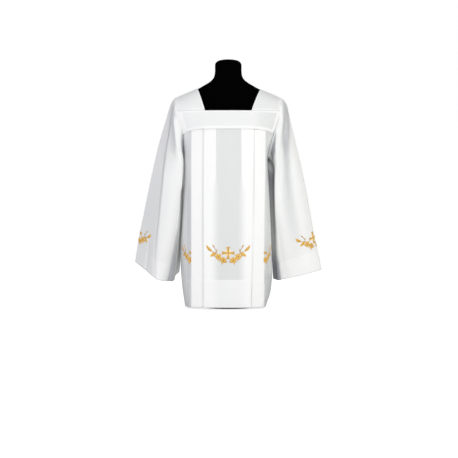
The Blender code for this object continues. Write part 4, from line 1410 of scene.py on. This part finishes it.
def thread_material(name):
    """Shiny embroidery thread: colour by tone, ridges of single threads along their own distance."""
    made, tree, shader = new_material(name, THREAD_LOOKS)
    uv = node(tree, "UVMap", {}, uv_map="cloth").outputs[0]
    along = node(tree, "SeparateXYZ", {0: uv}).outputs[0]
    tone = node(tree, "Attribute", {}, attribute_name="tone").outputs["Fac"]
    stretch = node(tree, "Mapping", {"Vector": uv, "Scale": (1.0 / THREAD_PITCH, RIDGE_ALONG, 1.0)})
    shift = work_out(tree, "SUBTRACT", noise(tree, stretch.outputs[0]), 0.5)
    shift = work_out(tree, "MULTIPLY", shift, THREAD_TONE)
    colour = blend(tree, work_out(tree, "ADD", tone, shift), THREAD_COLOURS, 0.5)
    ridges = work_out(tree, "SINE", work_out(tree, "MULTIPLY", along, 2 * math.pi / THREAD_PITCH))
    cover(tree, shader, colour, ridges, RIDGE_RELIEF, RELIEF_DEPTH)
    return made


# ---------------------------------------------------------------- studio


def add_object(name, data, place, turned):
    """A camera or light at a place, turned by angles round X, Y and Z."""
    made = bpy.data.objects.new(name, data)
    made.location = place
    made.rotation_euler = turned
    bpy.context.scene.collection.objects.link(made)
    return made


def add_studio(grain):
    """A level camera, a pale floor that curves up all round, and soft light from the right front."""
    scene = bpy.context.scene
    camera = bpy.data.cameras.new("camera")
    camera.sensor_width = SENSOR
    camera.lens = FOCAL_PIXELS / IMAGE_SIZE * SENSOR
    scene.camera = add_object("camera", camera, CAMERA_PLACE, (math.pi / 2, 0.0, 0.0))

    angle = np.linspace(0.0, 2 * math.pi, FLOOR_POINTS)[None, :]
    bend = np.linspace(0.0, 0.5 * math.pi, FLOOR_BEND_POINTS)
    curve = FLOOR_RADIUS + FLOOR_BEND * np.sin(bend), FLOOR_BEND - FLOOR_BEND * np.cos(bend)
    radius = np.concatenate([[0.001, 1.0, 3.0], curve[0], [FLOOR_RADIUS + FLOOR_BEND]])[:, None]
    height = np.concatenate([[0.0, 0.0, 0.0], curve[1], [FLOOR_TOP]])[:, None]
    points = stack(radius * np.cos(angle), radius * np.sin(angle), height).reshape(-1, 3)
    pale = plain_material("pale_floor", grain)
    tree = pale.node_tree
    seen = node(tree, "LightPath", {}).outputs["Is Camera Ray"]
    seen = work_out(tree, "MULTIPLY", seen, FLOOR_SEEN - FLOOR_LIGHT)
    strength = tree.nodes["Principled BSDF"].inputs["Emission Strength"]
    tree.links.new(work_out(tree, "ADD", seen, FLOOR_LIGHT), strength)
    add_mesh("floor", points, grid_faces(len(radius), FLOOR_POINTS, flip=True), pale)

    for name, place, size, power_watts, colour in LIGHTS:
        light = bpy.data.lights.new(name, "AREA")
        light.shape = "DISK"
        light.size = size
        light.energy = power_watts
        light.color = colour
        towards = np.array(LIGHTS_AIM) - np.array(place)
        tilt = math.acos(-towards[2] / np.linalg.norm(towards))
        add_object(name, light, place, (tilt, 0.0, math.atan2(towards[1], towards[0]) - math.pi / 2))
    scene.world = bpy.data.worlds.new("studio")
    scene.world.use_nodes = True
    sky = scene.world.node_tree.nodes["Background"]
    sky.inputs[0].default_value = SKY_COLOUR
    sky.inputs[1].default_value = SKY_STRENGTH
    scene.view_settings.view_transform = "Standard"


# ---------------------------------------------------------------- whiteness of the cloth, with painted light and shade


def shaded(whiteness, shade):
    """A whiteness with shade from 0 to 1 over it, which takes it to the depth of a crease."""
    return whiteness * (1.0 - shade) + CREASE * shade


def panel_whiteness_and_painted_light(points, layer):
    """How white each place of a panel looks: 1 where cloth lies on cloth, less where it is single.

    The face is single in its middle, and so is the innermost layer past the box pleat, which is painted
    lighter or darker in places. Painted shade lies under the face, in a line beside its fold, and in
    the slot between body and sleeve.
    """
    x, z = np.abs(points[..., 0]), points[..., 2]
    right = points[..., 0] > 0.0
    look = {name: np.where(right, on_right, on_left) for name, on_left, on_right in SIDE_WHITENESS_AND_PAINTED_LIGHT}
    soft = MIDDLE_SOFT[0] + (MIDDLE_SOFT[1] - MIDDLE_SOFT[0]) * fade(z, *MIDDLE_SOFT_Z)
    past_middle = np.abs(points[..., 0] - MIDDLE_SHIFT) - TOP_BOX_UNDERFOLD
    white = np.where(layer < 0.5, fade(past_middle, -SOFT_INSIDE * soft, (1.0 - SOFT_INSIDE) * soft), 1.0)
    hem = fade(z, HEM_TOP_Z, HEM_TOP_Z - HEM_EDGE)
    white = white + HEM_WHITENESS * hem * (1.0 - white)

    # Painted light and shade on the single cloth past the box pleat
    upper, skirt, foot, below_arm = (fade(z, *zs) for zs in (UPPER_Z, SKIRT_Z, FOOT_Z, UNDERARM_FADE_Z))
    side = look["white"] + look["upper"] * upper + look["below_skirt"] * (1.0 - skirt)
    side = side + look["foot"] * foot + look["underarm"] * (1.0 - below_arm)
    side = side + look["inward"] * fade(x, *INWARD_X) + SIDE_HEM_WHITENESS * hem
    edge = look["edge_above_foot"] * (1.0 - foot) + (look["edge_skirt"] + look["edge_upper"] * upper) * skirt
    side = side + edge * fade(x, look["edge_from"], look["edge_full"]) * below_arm
    single_side = (layer > LAYERS_BEHIND_FACE - 0.1) & (x > pleat("box_left", z) - SIDE_FROM_BOX)
    white = np.where(single_side, side, white)

    # Painted shade under the face's fold, beside it and in the slot, lifted in a spot of the right slot
    under = fade(layer, *UNDER_FACE[0]) * fade(layer, *UNDER_FACE[1])
    width = look["line"] + look["line_low"] * fade(z, *LINE_LOW_Z)
    past_fold = (x - on_side(pleat, "face_", points[..., 0], z)) / width
    beside = np.where(np.abs(layer - 2.0) < 0.2, np.exp(-(past_fold**2)), 0.0)
    slot = look["slot"] + look["slot_slant"] * np.maximum(z - SLOT_SLANT_FROM_Z, 0.0)
    from_z, (soft_x, soft_z) = look["slot_from_z"], SLOT_SOFT
    slot = fade(x, slot, slot + soft_x) * fade(z, from_z, from_z + soft_z) * fade(z, *SLOT_TOP_Z)
    light_z, light_reach, light = SLOT_LIGHT
    slot = slot * (1.0 - light * np.exp(-(((z - light_z) / light_reach) ** 2)) * right)
    return shaded(white, np.maximum(np.maximum(under, beside), np.where(single_side, slot, 0.0)))


def patch(along, place, strength, along_from, along_full, place_from, place_full):
    """A soft patch on a sleeve: a strength that fades in along it and round it."""
    return strength * fade(along, along_from, along_full) * fade(place, place_from, place_full)


def sleeve_whiteness_and_painted_light(side, along, angle, doubled):
    """The same for a sleeve: painted shade in its folds, head and the side facing the body; painted light in
    patches.
    """
    place = np.degrees(angle) % 360.0
    front = (place + 180.0) % 360.0 - 180.0
    fold_rows = LEFT_SHADE_ROWS if side == "left" else RIGHT_SHADE_ROWS
    start, start_soft, end, end_soft, strength = straight_columns(fold_rows, along)
    shade = strength * fade(front, start, start + start_soft) * fade(front, end, end - end_soft)
    slot_rows = LEFT_SLOT_ROWS if side == "left" else RIGHT_SLOT_ROWS
    slot_from, slot_soft, strength = straight_columns(slot_rows, along)
    inner = strength * fade(place, slot_from, slot_from + slot_soft)
    inner = inner * (1.0 - fade(place, SLOT_END[side], SLOT_END[side] + SLOT_END_SOFT))
    inner = inner * (1.0 - patch(along, place, *HEAD_SLOT_LIGHT))
    seam = SEAM_SHADE_SHARE[side] * patch(along, front, *SEAM_SHADE) * fade(front, *SEAM_SHADE_END)
    strength, middle, reach = PUCKER_SHADE
    pucker = strength * np.exp(-(((front - middle) / reach) ** 2)) * fade(along, *PUCKER_SHADE_ALONG)
    inner = np.maximum(inner, np.maximum(seam, pucker))
    if side == "left":
        inner = inner * (1.0 - patch(along, place, *BACK_SLOT_LIGHT))
        outer = patch(along, front, *OUTER_SHADE, *(start + degrees for degrees in OUTER_SHADE_FROM))
        shade = np.maximum(shade, outer * (front > OUTER_SHADE_END))
        light = patch(along, place, *SLEEVE_LIGHT[side]) * (place < SLEEVE_LIGHT_END)
    else:
        light = patch(along, np.abs(front), *SLEEVE_LIGHT[side])
    lit = SLEEVE_WHITENESS + light
    return shaded(lit + (1.0 - lit) * doubled, np.maximum(shade, inner))


def band_whiteness_and_painted_light(grid):
    """The same for a band: doubled strips at its foot, its top and its ends, and painted shade on the right.
    """
    x = grid[..., 0]
    rise = np.linspace(0.0, 1.0, len(grid))[:, None]
    strips = np.maximum(fade(rise, *BAND_FOOT_STRIP), fade(rise, *BAND_TOP_STRIP))
    to_end = np.where(x < 0.0, x - x[:, :1], x[:, -1:] - x)
    allowance = np.where(x < 0.0, BAND_ALLOWANCE["left"], BAND_ALLOWANCE["right"])
    strips = np.maximum(strips, fade(to_end, allowance, allowance - BAND_ALLOWANCE_SOFT))
    strips = strips - BAND_PAINTED_SHADE * fade(x, *BAND_PAINTED_SHADE_X) * (1.0 - strips)
    return BAND_WHITENESS + BAND_DOUBLED * strips


def strap_whiteness_and_painted_light(side):
    """The same for a shoulder piece: doubled strips along all its edges, the right piece painted darker."""
    rows, columns = STRAP_SHAPE
    across = np.linspace(0.0, 1.0, columns)[None, :]
    over = np.sin(np.linspace(0.0, math.pi, rows))[:, None]
    edges = np.maximum(*(fade(across, *strip) for strip in STRAP_STRIPS))
    return STRAP_WHITENESS_WITH_PAINTED_SHADE[side] + STRAP_DOUBLED * np.maximum(edges, fade(over, *STRAP_END_STRIP))


# ---------------------------------------------------------------- assembly


def dress_panel(face, white, thread):
    """The pleated front or back with its three motifs and the stitches of its hem."""
    points, layer = panel_grid(face)
    panel = cloth_piece(
        face + "_pleats", face + "_panel", points, panel_whiteness_and_painted_light(points, layer), white, flip=face == "back"
    )
    motifs = [
        embroider(f"{face}_{where}_embroidery", on_panel(face, x, depth), thread)
        for where, x, depth in (
            ("middle", 0.0, 0.0),
            ("left", -SIDE_MOTIF_X, float(LAYERS_BEHIND_FACE)),
            ("right", SIDE_MOTIF_X, float(LAYERS_BEHIND_FACE)),
        )
    ]
    line = np.argmin(np.abs(points[:, 0, 2] - HEM_TOP_Z)) - 2
    number = np.round(layer[line])
    row, normal = lifted_row(points, line, -WAY[face])
    runs = []
    for outer in (0, 2, 4):
        for half in (-1.0, 1.0):
            on = (np.abs(layer[line] - number) < 1e-6) & (number == outer) & (row[:, 0] * half >= 0.0)
            runs.append((row[on], normal[on]))
    seam = stitches(face + "_hem_stitches", runs, white)


def dress_band(face, white):
    """A yoke band with its two rows of stitches."""
    grid = band_grid(face)
    band = cloth_piece(face + "_yoke", face + "_band", grid, band_whiteness_and_painted_light(grid), white, flip=face == "back")
    rows = [lifted_row(grid, number, -WAY[face]) for number in (4, -3)]
    seam = stitches(face + "_yoke_stitches", rows, white)


def dress_shoulder(side, white):
    """A shoulder piece with its two rows of stitches."""
    grid = strap_grid(side)
    strap = cloth_piece(
        "shoulder_" + side, "strap_" + side, grid, strap_whiteness_and_painted_light(side), white, flip=side == "left"
    )
    rows = [lifted_row(grid.transpose(1, 0, 2), number, -WAY[side]) for number in (2, -3)]
    seam = stitches("shoulder_stitches_" + side, rows, white)


def dress_sleeve(side, white, thread):
    """A sleeve with its motif, the stitches of its cuff and the ridge of the armhole seam."""
    rows, columns = SLEEVE_SHAPE
    along, angle = np.linspace(0.0, 1.0, rows)[:, None], circle(columns)[None, :]
    grid = sleeve_point(side, along, angle)
    doubled = fade(along, CUFF_HEM_FROM, CUFF_HEM_FROM + CUFF_HEM_EDGE) + np.zeros(SLEEVE_SHAPE)
    grid = grid + surface_normals(grid, True) * (-WAY[side] * HEM_STEP * doubled)[..., None]
    sleeve = cloth_piece(
        "sleeve_cloth_" + side, "sleeve_" + side, grid, sleeve_whiteness_and_painted_light(side, along, angle, doubled),
        white, closed=True, flip=side == "right",
    )
    motif = embroider("sleeve_embroidery_" + side, on_sleeve(side), thread)
    line = int(np.ceil(CUFF_HEM_FROM * (rows - 1))) + 1
    seam = stitches("cuff_stitches_" + side, [lifted_row(grid, line, -WAY[side], True)], white)
    armhole_welt(side, white)


def dress_form(name, rows, solid, jersey):
    """A part of the dress form: flattened rings between the rows of its table, closed at both ends."""
    table = np.array(rows)
    levels = np.linspace(table[0, 0], table[-1, 0], FORM_LEVELS)
    z = np.unique(np.concatenate([table[:, 0], levels]))[:, None]
    angle = circle(FORM_POINTS_ROUND)[None, :]
    across, forward = (power(wave, 2 / FORM_SQUARE) for wave in (np.cos(angle), np.sin(angle)))
    half, front, back = (column(FORM_COLUMNS, rows, key, z) for key in FORM_COLUMNS[1:])
    rings = stack(half * across, forward * np.where(forward > 0.0, back, front), z)
    form = add_mesh(name, *closed_ends(rings), jersey)
    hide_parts(solid)
    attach(form, "root")


def build(grain):
    """The garment on its dress form."""
    white = cloth_material("white_cloth", weave_group())
    thread = thread_material("gold_thread")
    for face in ("front", "back"):
        dress_panel(face, white, thread)
        dress_band(face, white)
    for side in ("left", "right"):
        dress_shoulder(side, white)
        dress_sleeve(side, white, thread)

    jersey = plain_material("black_jersey", grain)
    dress_form("form_body", TORSO_ROWS, "form_torso", jersey)
    dress_form("form_cap", NECK_CAP_ROWS, "form_neck_cap", jersey)
    metal = plain_material("black_metal", grain)
    for name in ("form_pole", "form_base"):
        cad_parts[name].data.materials.clear()
        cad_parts[name].data.materials.append(metal)


fine_grain = grain_group()
add_studio(fine_grain)
build(fine_grain)
